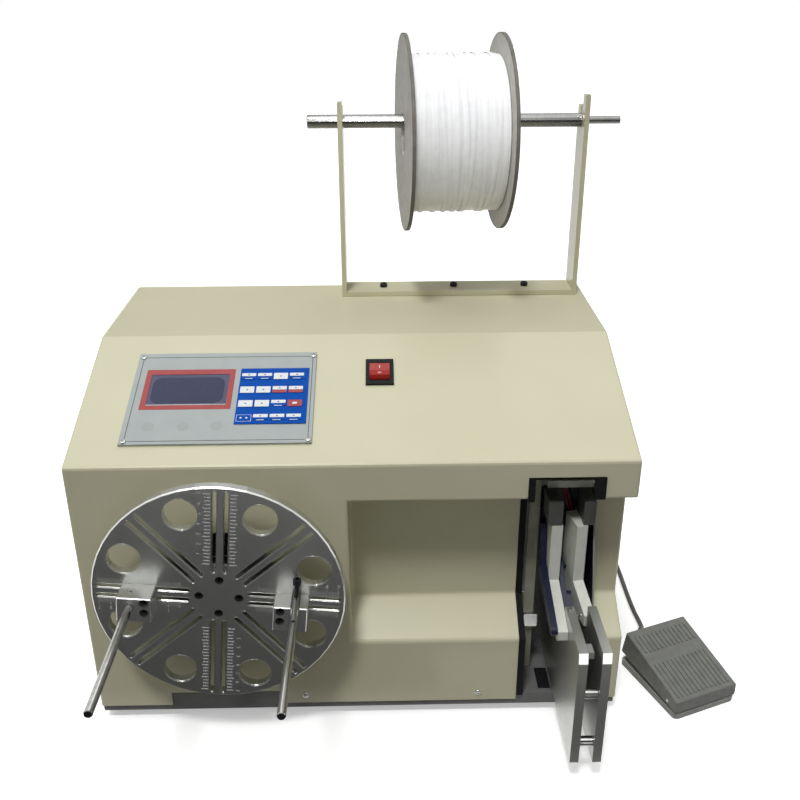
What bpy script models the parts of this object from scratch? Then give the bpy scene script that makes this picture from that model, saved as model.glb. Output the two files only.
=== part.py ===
"""Cable winding and tying machine with its tape spool and foot pedal, in metres.

The machine frame has x to the right across the front, y into the depth from the
cover's front face, and z up from the bench. The last step sets the origin under
the middle of the machine.
"""
import math

import bmesh
import bpy
import numpy as np
from mathutils import Matrix, Vector

# Fits shared by all pieces
GAP = 0.0003            # air between two pieces that touch
OVER = 0.004            # how far a cut runs past the face that it opens
SINK = 0.0005           # how deep two shapes of one piece reach into each other

# Sides of round shapes, by size
FINE = 48
ROUND = 32
SMALL = 18
TINY = 12
FEW = 8                 # steps of a half round in a drawn outline
ROUTE_STEPS = 24        # fine steps between two given points of a cable route
BEVEL_ANGLE = math.radians(30)
SMOOTH_ANGLE = math.radians(32)
MM = 1000               # millimetres in a metre, for what is printed

# Body
COVER_WIDTH = 0.500
COVER_DEPTH = 0.320
COVER_FRONT = 0.262     # height of the front face
SLOPE_DEPTH = 0.163
SLOPE_RISE = 0.058
COVER_WALL = 0.0015
COVER_BEND = 0.0024     # outer radius of the folded edges
SKIRT = 0.0055          # how far the cover hangs over the base plate's edge
BASE_THICKNESS = 0.0125
FOOT_HEIGHT = 0.010
FOOT_RADIUS = 0.014
FOOT_TAPER = 0.003
FOOT_INSET = 0.032
RECESS_CLEAR = 0.003    # from the disc's rim to the stepped part of the front, which runs to the right side
RECESS_DEPTH = 0.038
RECESS_DROP = 0.0374    # from the top of the front down to the recess
SHELF_REAR = 0.098      # heights above the cover's lower edge
SHELF_FRONT = 0.0725
SLOT_SIDE = 0.0296      # from the cover's right side to the tie slot
SLOT_OPENING = 0.0684
SLOT_DROP = 0.0151      # from the top of the front down to the slot
TRIM_WIDTH = 0.0060
TRIM_LIP = 0.0015
NOTCH_REACH = (0.061, 0.046)   # of the notch, to the left and the right of the disc's axis
NOTCH_HEIGHT = 0.015
PANEL_WALL = 0.0015
PANEL_INSET = 0.002
VENT_LENGTH = 0.060
VENT_WIDTH = 0.004
VENT_PITCH = 0.012
VENT_ROWS = 6
VENT_CENTRES = (0.130, 0.270)  # from the cover's left side
VENT_LOW = 0.200

# Winding disc and its posts, seen from the spindle's axis
AXIS_INSET = 0.130      # from the cover's left side
AXIS_HEIGHT = 0.1653
DISC_TURN = math.radians(5.4)
DISC_RADIUS = 0.111
DISC_THICKNESS = 0.008
DISC_FRONT = -0.030
DISC_CHAMFER = 0.0012
HOLE_INSET = 0.0225     # from the disc's rim to the middle of a hole
HOLE_RADIUS = 0.0150
HOLE_COUNT = 8
SLOT_INNER = 0.027
SLOT_INSET = 0.006      # from the disc's rim to the last point of a slot's middle line
SLOT_WIDTH = 0.0040
SLOT_SPACING = 0.0100
DISC_SCREW_CIRCLE = 0.0175
DISC_SCREW_RADIUS = 0.0040
DISC_SCREWS = 4
BLOCK_INNER = (0.0542, 0.0492)  # of the left and the right block, from the axis
BLOCK_LENGTH = 0.0295
BLOCK_DEPTH = 0.022
BLOCK_TOP = 0.0095
BLOCK_BOTTOM = -0.0150
BLOCK_CHAMFER = 0.0008
BOLT_PLACE = 0.0062     # from the block's inner end, as is the post
BOLT_RADIUS = 0.0040
BOLT_DEPTH = 0.010
POST_PLACE = 0.0186
POST_RADIUS = 0.0036
POST_TIP = -0.178
POST_SEAT = 0.016       # how deep a post sits in its block
POST_CHAMFER = 0.0006
SPLIT_POST_RISE = 0.0078
SPLIT_FLOOR = 0.0039
SPLIT_POST_STOP = 0.0012
CROSS_HOLE = 0.0015
CROSS_HOLE_PLACE = -0.072
CLAMP_SCREW_RADIUS = 0.0020
CLAMP_HEAD_RADIUS = 0.0036
CLAMP_HEAD_HEIGHT = 0.005
CLAMP_SCREW_RISE = 0.014
CLAMP_SCREW_PLACE = -0.0362
CLAMP_SOCKET_RADIUS = 0.0018
CLAMP_SOCKET_DEPTH = 0.0025
CLAMP_SCREW_BITE = 0.006

# Winding drive
HUB_RADIUS = 0.030
HUB_THICKNESS = 0.006
SPINDLE_RADIUS = 0.010
SPINDLE_HOLE = 0.023
HOUSING_WIDTH = 0.070
HOUSING_FRONT = 0.018
HOUSING_REAR = 0.089
HOUSING_TOP = 0.034
HOUSING_CHAMFER = 0.006
BEARING_RADIUS = 0.021
BEARING_WIDTH = 0.012
PULLEY_CLEAR = 0.0015   # between the pulley and the housing, and from the pulley to the spindle's end
PULLEY_WIDTH = 0.014
SPINDLE_PULLEY = 0.035
MOTOR_PULLEY = 0.015
PULLEY_RIM = 0.0015
PULLEY_EDGE = 0.0012
BELT_THICKNESS = 0.0025
BELT_MARGIN = 0.0018
MOTOR_OFFSET = 0.090    # from the disc's axis
MOTOR_SIZE = 0.080
MOTOR_CLEAR = 0.0035    # between the pulleys and the motor
MOTOR_LENGTH = 0.085
MOTOR_CORNER = 0.012
MOTOR_SHAFT = 0.006
MOTOR_BORE = 0.020

# Spool and its stand
BRACKET_SIDE = 0.0094   # from the cover's right side
BRACKET_SPAN = 0.2576
BRACKET_SETBACK = 0.005 # from the cover's rear
BRACKET_WIDTH = 0.036
BRACKET_BAR = 0.005
BRACKET_SCREWS = (0.045, 0.124, 0.204)   # from the bracket's left side
BRACKET_SCREW_HOLE = 0.0026
SHAFT_HEIGHT = 0.184    # above the cover's top
FRONT_PRONG = 0.027     # above the shaft's axis
LEFT_FRONT_PRONG = 0.021
REAR_PRONG = 0.014
SHAFT_RADIUS = 0.007
NECK_RADIUS = 0.005
NECK_MARGIN = 0.0006
SHAFT_REACH = (0.0320, 0.0354)   # of the shaft past the bracket's left and right side
TAIL_RADIUS = 0.004     # thin right end of the shaft
SHAFT_CHAMFER = 0.001
FLANGE_RADIUS = 0.0985
FLANGE_THICKNESS = 0.0035
SPOOL_PLACE = 0.1185    # from the bracket's left side to the middle of the spool
SPOOL_WIDTH = 0.103
SPOOL_SKEW = math.radians(4)   # the spool hangs a little crooked on its thin shaft
SPOOL_SAG = 0.0008     # how much the crooked spool is held up by that
SPOOL_BORE = 0.021
BARREL_RADIUS = 0.027
FLANGE_LIP = 0.0012
TAPE_RADIUS = 0.081
TAPE_STRAND = 0.0048
TAPE_LOOPS = 15

# Tie head
PLATE_SIDE = 0.0041     # from the right plate to the slot's right edge
PLATE_THICKNESS = 0.008
PLATE_SPACE = 0.0122
PLATE_FRONT = -0.088
PLATE_STEP = -0.022
PLATE_LOW = 0.1200      # top of the plates behind their step
PLATE_STEP_RISE = 0.0230
PLATE_NOSE_RISE = 0.010
PLATE_NOSE_RUN = 0.002
SPACER_RADIUS = 0.0045
SPACER_INSET = 0.006    # from the plates' front edge
SPACER_HEIGHTS = (0.042, 0.096)
HEAD_CHEEK = 0.010
HEAD_CLEAR = 0.0007     # between the right plate and the right cheek
HEAD_RIGHT_CHEEK = 0.005
HEAD_SETBACK = 0.0025   # behind the recess's wall
HEAD_WALL = 0.006
HEAD_RISE = 0.033       # above the axes of the feed rollers
HEAD_BEAM = 0.006
GUIDE_THICKNESS = 0.0100
GUIDE_NOSE = -0.043
GUIDE_NOSE_LOW = 0.002  # heights of the guides and the arm, above the top of the plates
GUIDE_NOSE_TOP = 0.011
GUIDE_HEEL = 0.012
GUIDE_HEEL_TOP = 0.028
GUIDE_TOP = 0.087
GUIDE_SETBACK = 0.002   # in front of the head frame
RIGHT_GUIDE_NOSE = -0.0192
RIGHT_GUIDE_FLARE = math.radians(11)
ARM_THICKNESS = 0.0045
ARM_NOSE_THICKNESS = 0.0090
ARM_NOSE_Y = 0.0020
ARM_NOSE_Z = 0.0165
ARM_NOSE = 0.0055
ARM_PIVOT_SETBACK = 0.012   # in front of the head frame, as is the lever's tail
ARM_PIVOT_Z = 0.032
ARM_HUB = 0.008
ARM_TIP_CLEAR = 0.011   # behind the plates' step, so that the arm swings past it
ARM_TIP_Z = 0.0090
ARM_TIP = 0.0050
ARM_PIN = 0.0025
LEVER_THICKNESS = 0.006
LEVER_TIP_Y = -0.044
LEVER_TIP_Z = 0.014
LEVER_TIP = 0.004
LEVER_TAIL_SETBACK = 0.006
LEVER_TAIL_Z = 0.072
LEVER_TAIL = 0.0045
NOZZLE_WIDTH = 0.012
NOZZLE_CLEAR = 0.0018   # above the blade
NOZZLE_HEIGHT = 0.0515
NOZZLE_RIBS = 3
NOZZLE_RIB_PITCH = 0.004
NOZZLE_RIB_DEPTH = 0.0012
NOZZLE_RIB_WIDTH = 0.0018
TAPE_REACH = 0.019      # from the head's front to the tape that runs down in it, and on to its rear wall
TAPE_SLIT_WIDTH = 0.006
TAPE_SLIT = 0.002
HOOK_DROP = 0.020       # below the top of the plates
HOOK_SHAFT = 0.003
HOOK_BAR_FRONT = -0.012
HOOK_BAR = 0.004
HOOK_CLEAR = 0.0015     # between the hook's bar and each plate
HOOK_PRONG = 0.0026
HOOK_PRONG_LENGTH = 0.010
TWIST_MOTOR_RADIUS = 0.018
TWIST_MOTOR_LENGTH = 0.055
TWIST_MOTOR_BORE = 0.012
GEARBOX_LENGTH = 0.018
GEARBOX_RADIUS = 0.0165
ROLLER_CLEAR = 0.0087   # above the nozzle
ROLLER_RADIUS = 0.0083
ROLLER_NIP = 0.0004
ROLLER_LENGTH = 0.016
ROLLER_SHAFT = 0.002
BLADE_WIDTH = 0.009
BLADE_THICKNESS = 0.0022
BLADE_RISE = 0.0125     # above the top of the plates
BLADE_SETBACK = 0.008   # behind the head's front
BLADE_TAIL = 0.012      # behind the head's rear wall
BLADE_BEVEL = 0.003

# Controls, on the slope: x across the machine, u up the slope, w out of it
CONTROL_INSET = 0.044   # from the cover's left side
CONTROL_FOOT = 0.025    # from the foot of the slope
CONTROL_HEIGHT = 0.119
CONTROL_SIDE = 0.006    # to the right of the keypad
CONTROL_PLATE = 0.002
SCREEN_INSET = 0.0135   # from the plate's left side
SCREEN_WIDTH = 0.0762
SCREEN_DROP = 0.029     # from the plate's top
SCREEN_HEIGHT = 0.0405
SCREEN_MARGIN = 0.0060
SCREEN_DEPTH = 0.008
CONTROL_OPENING_MARGIN = 0.008
KEYPAD_GAP = 0.0092     # from the screen
KEYPAD_DROP = 0.0233    # from the plate's top
KEYPAD_FILM = 0.0006
KEY_WIDTH = 0.0134
KEY_HEIGHT = 0.0085
KEY_MARGIN_X = (0.0080, 0.0099)   # from the keypad's edges to the middles of the outer keys
KEY_MARGIN_U = (0.0090, 0.0114)
KEY_STEP = (0.0154, 0.0175)
KEY_RISE = 0.0005
KEY_COLUMNS = 4
KEY_ROWS = 4
BOARD_DROP = 0.020
BOARD_THICKNESS = 0.0016
STANDOFF_RADIUS = 0.003
STANDOFF_INSET = 0.006
BEZEL_X = (0.0100, 0.0364)
BEZEL_U = (0.0987, 0.1332)
BEZEL_RISE = 0.0020
SWITCH_WALL = 0.0034
SWITCH_DEPTH = 0.024
ROCKER_TILT = math.radians(10)
ROCKER_PIVOT = -0.0010
ROCKER_DEPTH = 0.012
ROCKER_CROWN = 0.0055
ROCKER_DIP = 0.0015
SWITCH_RIM = 0.0015

# Rear panel fittings and power supply
INLET_SIDE = 0.080      # from the cover's right side
INLET_Z = 0.075
INLET_FLANGE = (0.048, 0.0225)
INLET_BODY = (0.0275, 0.0200)
INLET_FLANGE_THICKNESS = 0.003
INLET_DEPTH = 0.022
INLET_WALL = 0.0022
INLET_PIN = (0.0020, 0.0040)
INLET_PIN_SPACING = 0.007
INLET_PIN_LENGTH = 0.012
GLAND_SIDE = 0.035
GLAND_Z = 0.045
GLAND_RADIUS = 0.009
GLAND_DOME = 0.0065
GLAND_LENGTH = 0.018
GLAND_COLLAR = 0.005
SUPPLY_SETBACK = 0.0165 # in front of the rear panel
SUPPLY_SIZE = (0.110, 0.095, 0.040)
SUPPLY_TERMINALS = (0.016, 0.012)

# Foot pedal, in its own turned frame
PEDAL_X = 0.3060
PEDAL_Y = -0.0150
PEDAL_TURN = math.radians(21.4)
PEDAL_WIDTH = 0.072
PEDAL_LENGTH = 0.092
PEDAL_CORNER = 0.005
PEDAL_PLATE = 0.006
PEDAL_RIM_INSET = 0.0040
PEDAL_RIM_WALL = 0.0020
PEDAL_RIM_FRONT = 0.024
PEDAL_RIM_TOP = 0.0150
TREADLE_WALL = 0.0025
TREADLE_CLEAR = 0.0010  # above the pedal's plate at the front
TREADLE_REAR_LOW = 0.0150
TREADLE_FRONT_TOP = 0.0205
TREADLE_REAR_TOP = 0.0420
TREADLE_REAR_LEAN = 0.005
TREADLE_EDGE = 0.0012
TREADLE_NOTCH = 0.0085
TREADLE_NOTCH_TOP = 0.0245
TREADLE_TRAVEL = math.radians(5.9)
SWITCH_STEM = 0.006
RIB_COUNT = 13
RIB_WIDTH = 0.0022
RIB_RISE = 0.0008
RIB_MARGIN = 0.0060
RIB_START = 0.005
RIB_GAP = (0.047, 0.033)   # from the pedal's rear to the plain stretch between the two fields of ribs
RIB_END = 0.013
PIN_PLACE = 0.0144
PIN_HEIGHT = 0.0125
PIN_RADIUS = 0.0020
EAR_WALL = 0.003
EAR_INSET = 0.0045
EAR_LENGTH = 0.010
EAR_OVER = 0.0035       # above the pin's axis
SWITCH_SIZE = (0.020, 0.0105, 0.0100)
PLUNGER_RADIUS = 0.0012
PLUNGER_RISE = 0.0015
SPRING_INSET = 0.019    # from the pedal's rear
SPRING_TO_SWITCH = 0.025
SPRING_RADIUS = 0.0055
SPRING_WIRE = 0.0006
SPRING_TURNS = 4
SPRING_TURN_POINTS = 8
SPRING_TOP = 0.0280
ENTRY_RADIUS = 0.0045
ENTRY_REACH = 0.008
ENTRY_SINK = 0.006

# Pedal cable, with hand-chosen points of its two free stretches (x, y and height above the bench)
CABLE_RADIUS = 0.0025
CABLE_STEP = 0.0132
CABLE_REST = CABLE_RADIUS
CABLE_STRAIGHT = 2 * CABLE_RADIUS
GLAND_ROUTE = [(0.209, 0.3640, 0.0340), (0.200, 0.3690, 0.0130), (0.188, 0.3700, CABLE_REST),
               (0.168, 0.3640, CABLE_REST)]
PEDAL_ROUTE = [(0.160, 0.4380, CABLE_REST), (0.186, 0.4480, CABLE_REST), (0.222, 0.4430, CABLE_REST),
               (0.258, 0.4160, CABLE_REST), (0.286, 0.3720, CABLE_REST), (0.302, 0.3220, CABLE_REST),
               (0.3075, 0.275, CABLE_REST), (0.3085, 0.232, CABLE_REST), (0.3075, 0.190, CABLE_REST),
               (0.3075, 0.152, CABLE_REST), (0.3085, 0.122, 0.0037)]
COIL_X = 0.105
COIL_Y = 0.392
COIL_INNER = 0.0330
COIL_PITCH = 0.0056
COIL_TURNS = 2          # turns in each of the two layers
COIL_LAYERS = 2
LOOP_POINTS = 24

LOOKS = {
    # colour, roughness, metallic
    "cream_paint": ((0.680, 0.665, 0.515), 0.38, 0.0),
    "dark_paint": ((0.100, 0.100, 0.104), 0.50, 0.0),
    "black_rubber": ((0.018, 0.018, 0.018), 0.75, 0.0),
    "aluminium": ((0.560, 0.565, 0.560), 0.32, 1.0),
    "bright_steel": ((0.620, 0.620, 0.610), 0.22, 1.0),
    "black_steel": ((0.022, 0.022, 0.024), 0.40, 0.6),
    "cast_grey": ((0.230, 0.235, 0.225), 0.50, 0.2),
    "white_nylon": ((0.780, 0.800, 0.740), 0.42, 0.0),
    "blue_paint": ((0.010, 0.018, 0.085), 0.35, 0.2),
    "fibre_board": ((0.430, 0.390, 0.335), 0.70, 0.0),
    "white_tape": ((0.830, 0.835, 0.850), 0.62, 0.0),
    "control_film": ((0.430, 0.470, 0.460), 0.30, 0.0),
    "screen": ((0.070, 0.072, 0.150), 0.12, 0.0),
    "keypad_blue": ((0.004, 0.090, 0.480), 0.30, 0.0),
    "black_plastic": ((0.020, 0.020, 0.021), 0.40, 0.0),
    "red_plastic": ((0.600, 0.030, 0.022), 0.25, 0.0),
    "board_green": ((0.015, 0.120, 0.045), 0.50, 0.0),
    "zinc_steel": ((0.420, 0.420, 0.410), 0.40, 0.9),
    "pedal_grey": ((0.165, 0.170, 0.155), 0.55, 0.0),
    "pedal_dark": ((0.085, 0.085, 0.080), 0.60, 0.0),
    "cable_grey": ((0.100, 0.088, 0.082), 0.55, 0.0),
}

# Levels that several pieces share
BASE_TOP = FOOT_HEIGHT + BASE_THICKNESS
COVER_BOTTOM = BASE_TOP - SKIRT
FRONT_TOP = COVER_BOTTOM + COVER_FRONT
COVER_TOP = FRONT_TOP + SLOPE_RISE
SLOPE_ANGLE = math.atan2(SLOPE_RISE, SLOPE_DEPTH)

# Places that several pieces share, across the machine
SIDE = COVER_WIDTH / 2
AXIS_X = AXIS_INSET - SIDE
RECESS_LEFT = AXIS_X + DISC_RADIUS + RECESS_CLEAR
SLOT_RIGHT = SIDE - SLOT_SIDE
SLOT_LEFT = SLOT_RIGHT - SLOT_OPENING
MOTOR_X = AXIS_X + MOTOR_OFFSET
BRACKET_RIGHT = SIDE - BRACKET_SIDE
BRACKET_LEFT = BRACKET_RIGHT - BRACKET_SPAN
SPOOL_X = BRACKET_LEFT + SPOOL_PLACE
PLATE_RIGHT = SLOT_RIGHT - PLATE_SIDE - PLATE_THICKNESS
PLATE_LEFT = PLATE_RIGHT - PLATE_SPACE - PLATE_THICKNESS
THROAT_X = PLATE_RIGHT - PLATE_SPACE / 2
HEAD_LEFT = SLOT_LEFT + TRIM_WIDTH
HEAD_RIGHT = PLATE_RIGHT + PLATE_THICKNESS + HEAD_CLEAR + HEAD_RIGHT_CHEEK
INLET_X = SIDE - INLET_SIDE
GLAND_X = SIDE - GLAND_SIDE

# Into the depth of the machine
REAR = COVER_DEPTH - PANEL_INSET
DISC_BACK = DISC_FRONT + DISC_THICKNESS
PULLEY_FRONT = HOUSING_REAR + PULLEY_CLEAR
PULLEY_BACK = PULLEY_FRONT + PULLEY_WIDTH
MOTOR_FRONT = PULLEY_BACK + MOTOR_CLEAR
BRACKET_FRONT = COVER_DEPTH - BRACKET_SETBACK - BRACKET_WIDTH
SPOOL_Y = BRACKET_FRONT + BRACKET_WIDTH / 2
HEAD_FRONT = RECESS_DEPTH + COVER_WALL + HEAD_SETBACK
TAPE_PLANE = HEAD_FRONT + TAPE_REACH
HEAD_WALL_FRONT = TAPE_PLANE + TAPE_REACH
HEAD_REAR = HEAD_WALL_FRONT + HEAD_WALL
GUIDE_REAR = HEAD_FRONT - GUIDE_SETBACK
ARM_PIVOT_Y = HEAD_FRONT - ARM_PIVOT_SETBACK

# Heights above the bench
SLOT_TOP = FRONT_TOP - SLOT_DROP
SHAFT_Z = COVER_TOP + SHAFT_HEIGHT
SPOOL_Z = SHAFT_Z - (SPOOL_BORE - SHAFT_RADIUS - GAP) + SPOOL_SAG
HOOK_HEIGHT = PLATE_LOW - HOOK_DROP
BLADE_HEIGHT = PLATE_LOW + BLADE_RISE
NOZZLE_LOW = BLADE_HEIGHT + BLADE_THICKNESS + NOZZLE_CLEAR
NOZZLE_TOP = NOZZLE_LOW + NOZZLE_HEIGHT
ROLLER_HEIGHT = NOZZLE_TOP + ROLLER_CLEAR + ROLLER_RADIUS
HEAD_TOP = ROLLER_HEIGHT + HEAD_RISE

# Edges of the control plate and of what sits on it
PLATE_TOP_U = CONTROL_FOOT + CONTROL_HEIGHT
PLATE_START_X = CONTROL_INSET - SIDE
SCREEN_START_X = PLATE_START_X + SCREEN_INSET
SCREEN_X = (SCREEN_START_X, SCREEN_START_X + SCREEN_WIDTH)
SCREEN_U = (PLATE_TOP_U - SCREEN_DROP - SCREEN_HEIGHT, PLATE_TOP_U - SCREEN_DROP)
KEY_FIRST = (SCREEN_X[1] + KEYPAD_GAP + KEY_MARGIN_X[0], PLATE_TOP_U - KEYPAD_DROP - KEY_MARGIN_U[1])
KEY_LAST = (KEY_FIRST[0] + (KEY_COLUMNS - 1) * KEY_STEP[0], KEY_FIRST[1] - (KEY_ROWS - 1) * KEY_STEP[1])
KEYPAD_X = (KEY_FIRST[0] - KEY_MARGIN_X[0], KEY_LAST[0] + KEY_MARGIN_X[1])
KEYPAD_U = (KEY_LAST[1] - KEY_MARGIN_U[0], KEY_FIRST[1] + KEY_MARGIN_U[1])
PLATE_X = (PLATE_START_X, KEYPAD_X[1] + CONTROL_SIDE)
PLATE_U = (CONTROL_FOOT, PLATE_TOP_U)

# In the pedal's own frame
SWITCH_X = PEDAL_WIDTH / 2
SPRING_Y = PEDAL_LENGTH - SPRING_INSET
SWITCH_Y = SPRING_Y - SPRING_TO_SWITCH

# Where each axis of a drawn outline goes, by the direction that it is drawn out in
ALONG = {
    "X": lambda a, b, run: (run, a, b),
    "Y": lambda a, b, run: (a, run, b),
    "Z": lambda a, b, run: (a, b, run),
}


def clear_scene():
    for item in list(bpy.data.objects):
        bpy.data.objects.remove(item)


def object_from(name, bm):
    """Closes a mesh with its faces pointing out and links it to the scene."""
    bmesh.ops.recalc_face_normals(bm, faces=bm.faces[:])
    mesh = bpy.data.meshes.new(name)
    bm.to_mesh(mesh)
    bm.free()
    piece = bpy.data.objects.new(name, mesh)
    bpy.context.scene.collection.objects.link(piece)
    return piece


def prism(name, outlines, along, low, high):
    """Draws one or more closed outlines out along an axis, from low to high."""
    bm = bmesh.new()
    place = ALONG[along]
    if not isinstance(outlines[0][0], (tuple, list)):
        outlines = [outlines]
    for outline in outlines:
        ends = [[bm.verts.new(place(a, b, run)) for a, b in outline] for run in (low, high)]
        bm.faces.new(ends[0])
        bm.faces.new(ends[1])
        for i in range(len(outline)):
            j = (i + 1) % len(outline)
            bm.faces.new((ends[0][i], ends[0][j], ends[1][j], ends[1][i]))
    return object_from(name, bm)


def box(name, low, high):
    outline = [(low[0], low[1]), (high[0], low[1]), (high[0], high[1]), (low[0], high[1])]
    return prism(name, outline, "Z", low[2], high[2])


def turned(name, profile, along, centre, sides):
    """Turns a closed profile of (radius, run) points about an axis through centre."""
    bm = bmesh.new()
    place = ALONG[along]
    rings = []
    for radius, run in profile:
        if radius == 0:
            rings.append([bm.verts.new(place(centre[0], centre[1], run))])
            continue
        turns = [2 * math.pi * (k + 0.5) / sides for k in range(sides)]
        rings.append([bm.verts.new(place(centre[0] + radius * math.cos(t),
                                         centre[1] + radius * math.sin(t), run)) for t in turns])
    closed = all(len(ring) > 1 for ring in rings)
    for i in range(len(rings) if closed else len(rings) - 1):
        one, two = rings[i], rings[(i + 1) % len(rings)]
        for k in range(sides):
            n = (k + 1) % sides
            corners = [one[0]] if len(one) == 1 else [one[k], one[n]]
            corners += [two[0]] if len(two) == 1 else [two[n], two[k]]
            if len(corners) > 2:
                bm.faces.new(corners)
    return object_from(name, bm)


def rod(name, along, centre, radius, low, high, sides=SMALL):
    return turned(name, [(0, low), (radius, low), (radius, high), (0, high)], along, centre, sides)


def chamfered_rod(name, along, centre, radius, low, high, chamfer, sides=SMALL):
    profile = [(0, low), (radius - chamfer, low), (radius, low + chamfer),
               (radius, high - chamfer), (radius - chamfer, high), (0, high)]
    return turned(name, profile, along, centre, sides)


def ring(name, along, centre, inner, outer, low, high, sides=ROUND):
    profile = [(inner, low), (outer, low), (outer, high), (inner, high)]
    return turned(name, profile, along, centre, sides)


def bake(piece):
    """Turns a piece's modifiers into plain mesh."""
    bpy.context.view_layer.update()
    shown = piece.evaluated_get(bpy.context.evaluated_depsgraph_get())
    mesh = bpy.data.meshes.new_from_object(shown)
    piece.modifiers.clear()
    old = piece.data
    piece.data = mesh
    mesh.name = piece.name
    bpy.data.meshes.remove(old)
    return piece


def combine(piece, tools, operation):
    for tool in tools:
        step = piece.modifiers.new(operation.lower(), "BOOLEAN")
        step.operation = operation
        step.solver = "EXACT"
        step.object = tool
    bake(piece)
    for tool in tools:
        bpy.data.objects.remove(tool)
    return piece


def cut(piece, *tools):
    return combine(piece, tools, "DIFFERENCE")


def join(piece, *others):
    return combine(piece, others, "UNION")


def soften(piece, width, segments=1, angle=BEVEL_ANGLE):
    """Rounds or chamfers every edge that is sharper than the angle."""
    step = piece.modifiers.new("edges", "BEVEL")
    step.width = width
    step.segments = segments
    step.limit_method = "ANGLE"
    step.angle_limit = angle
    step.use_clamp_overlap = True
    piece.modifiers.new("flat_faces", "TRIANGULATE")
    return bake(piece)


def arc(centre, radius, start, end, steps):
    return [(centre[0] + radius * math.cos(start + (end - start) * k / steps),
             centre[1] + radius * math.sin(start + (end - start) * k / steps)) for k in range(steps + 1)]


def circle(centre, radius, sides):
    return arc(centre, radius, 0, 2 * math.pi, sides)[:-1]


def rounded(low, high, radius, steps=4):
    """Rectangle with round corners."""
    quarter = math.pi / 2
    centres = [(high[0] - radius, high[1] - radius), (low[0] + radius, high[1] - radius),
               (low[0] + radius, low[1] + radius), (high[0] - radius, low[1] + radius)]
    points = []
    for k, centre in enumerate(centres):
        points += arc(centre, radius, k * quarter, (k + 1) * quarter, steps)
    return points


def loop_of_two(one, radius_one, two, radius_two, steps=FEW):
    """Outline of a tight loop round two circles, such as a lever or a belt."""
    span = math.dist(one, two)
    heading = math.atan2(two[1] - one[1], two[0] - one[0])
    lean = math.acos((radius_one - radius_two) / span)
    return (arc(two, radius_two, heading - lean, heading + lean, steps)
            + arc(one, radius_one, heading + lean, heading + 2 * math.pi - lean, steps))


def offset_path(points, distance):
    """Moves an open path sideways, to its left for a positive distance, with mitred corners."""
    moved = []
    for i, point in enumerate(points):
        here = Vector(point)
        before = (here - Vector(points[i - 1])).normalized() if i > 0 else None
        after = (Vector(points[i + 1]) - here).normalized() if i < len(points) - 1 else None
        before = before or after
        after = after or before
        side_one = Vector((-before.y, before.x))
        side_two = Vector((-after.y, after.x))
        middle = (side_one + side_two).normalized()
        moved.append(tuple(here + middle * (distance / middle.dot(side_one))))
    return moved


def turn_about(outline, angle):
    return [(a * math.cos(angle) - b * math.sin(angle), a * math.sin(angle) + b * math.cos(angle))
            for a, b in outline]


def paint(piece, look):
    colour, roughness, metallic = LOOKS[look]
    material = bpy.data.materials.new(piece.name + "_" + look)
    material.use_nodes = True
    shader = material.node_tree.nodes["Principled BSDF"]
    shader.inputs["Base Color"].default_value = (*colour, 1)
    shader.inputs["Roughness"].default_value = roughness
    shader.inputs["Metallic"].default_value = metallic
    piece.data.materials.clear()
    piece.data.materials.append(material)


def finish(piece, look, carrier, pivot=(0, 0, 0), smooth=True):
    """Gives a piece its material, its carrier and an origin on its joint's axis."""
    paint(piece, look)
    piece.data.transform(Matrix.Translation(-Vector(pivot)))
    if smooth and piece.type == "MESH":
        piece.data.shade_smooth()
        piece.data.set_sharp_from_angle(angle=SMOOTH_ANGLE)
    piece.location = pivot
    piece.parent = carrier
    return piece


def empty(name, location, rotation=(0, 0, 0), parent=None):
    frame = bpy.data.objects.new(name, None)
    frame.location = location
    frame.rotation_euler = rotation
    frame.parent = parent
    bpy.context.scene.collection.objects.link(frame)
    return frame


def side_outline(inset, overrun):
    """Side view of the cover, drawn in by a wall; it runs past the open bottom and rear."""
    rise = math.tan(SLOPE_ANGLE)
    shift = inset / math.cos(SLOPE_ANGLE)
    bottom = COVER_BOTTOM - overrun
    rear = COVER_DEPTH + overrun
    return [(inset, bottom), (inset, FRONT_TOP + inset * rise - shift),
            ((COVER_TOP - inset - FRONT_TOP + shift) / rise, COVER_TOP - inset),
            (rear, COVER_TOP - inset), (rear, bottom)]


def recess_path():
    """Front edge of the cover where it steps in, from the bottom up, as (y, z)."""
    top = FRONT_TOP - RECESS_DROP
    return [(0, COVER_BOTTOM + SHELF_FRONT), (RECESS_DEPTH, COVER_BOTTOM + SHELF_REAR), (RECESS_DEPTH, top),
            (0, top)]


def recess_outline(wall):
    inner = offset_path(recess_path(), -wall)
    reach = COVER_WALL + OVER
    return [(inner[0][0] - reach, inner[0][1])] + inner + [(inner[-1][0] - reach, inner[-1][1])]


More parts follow.
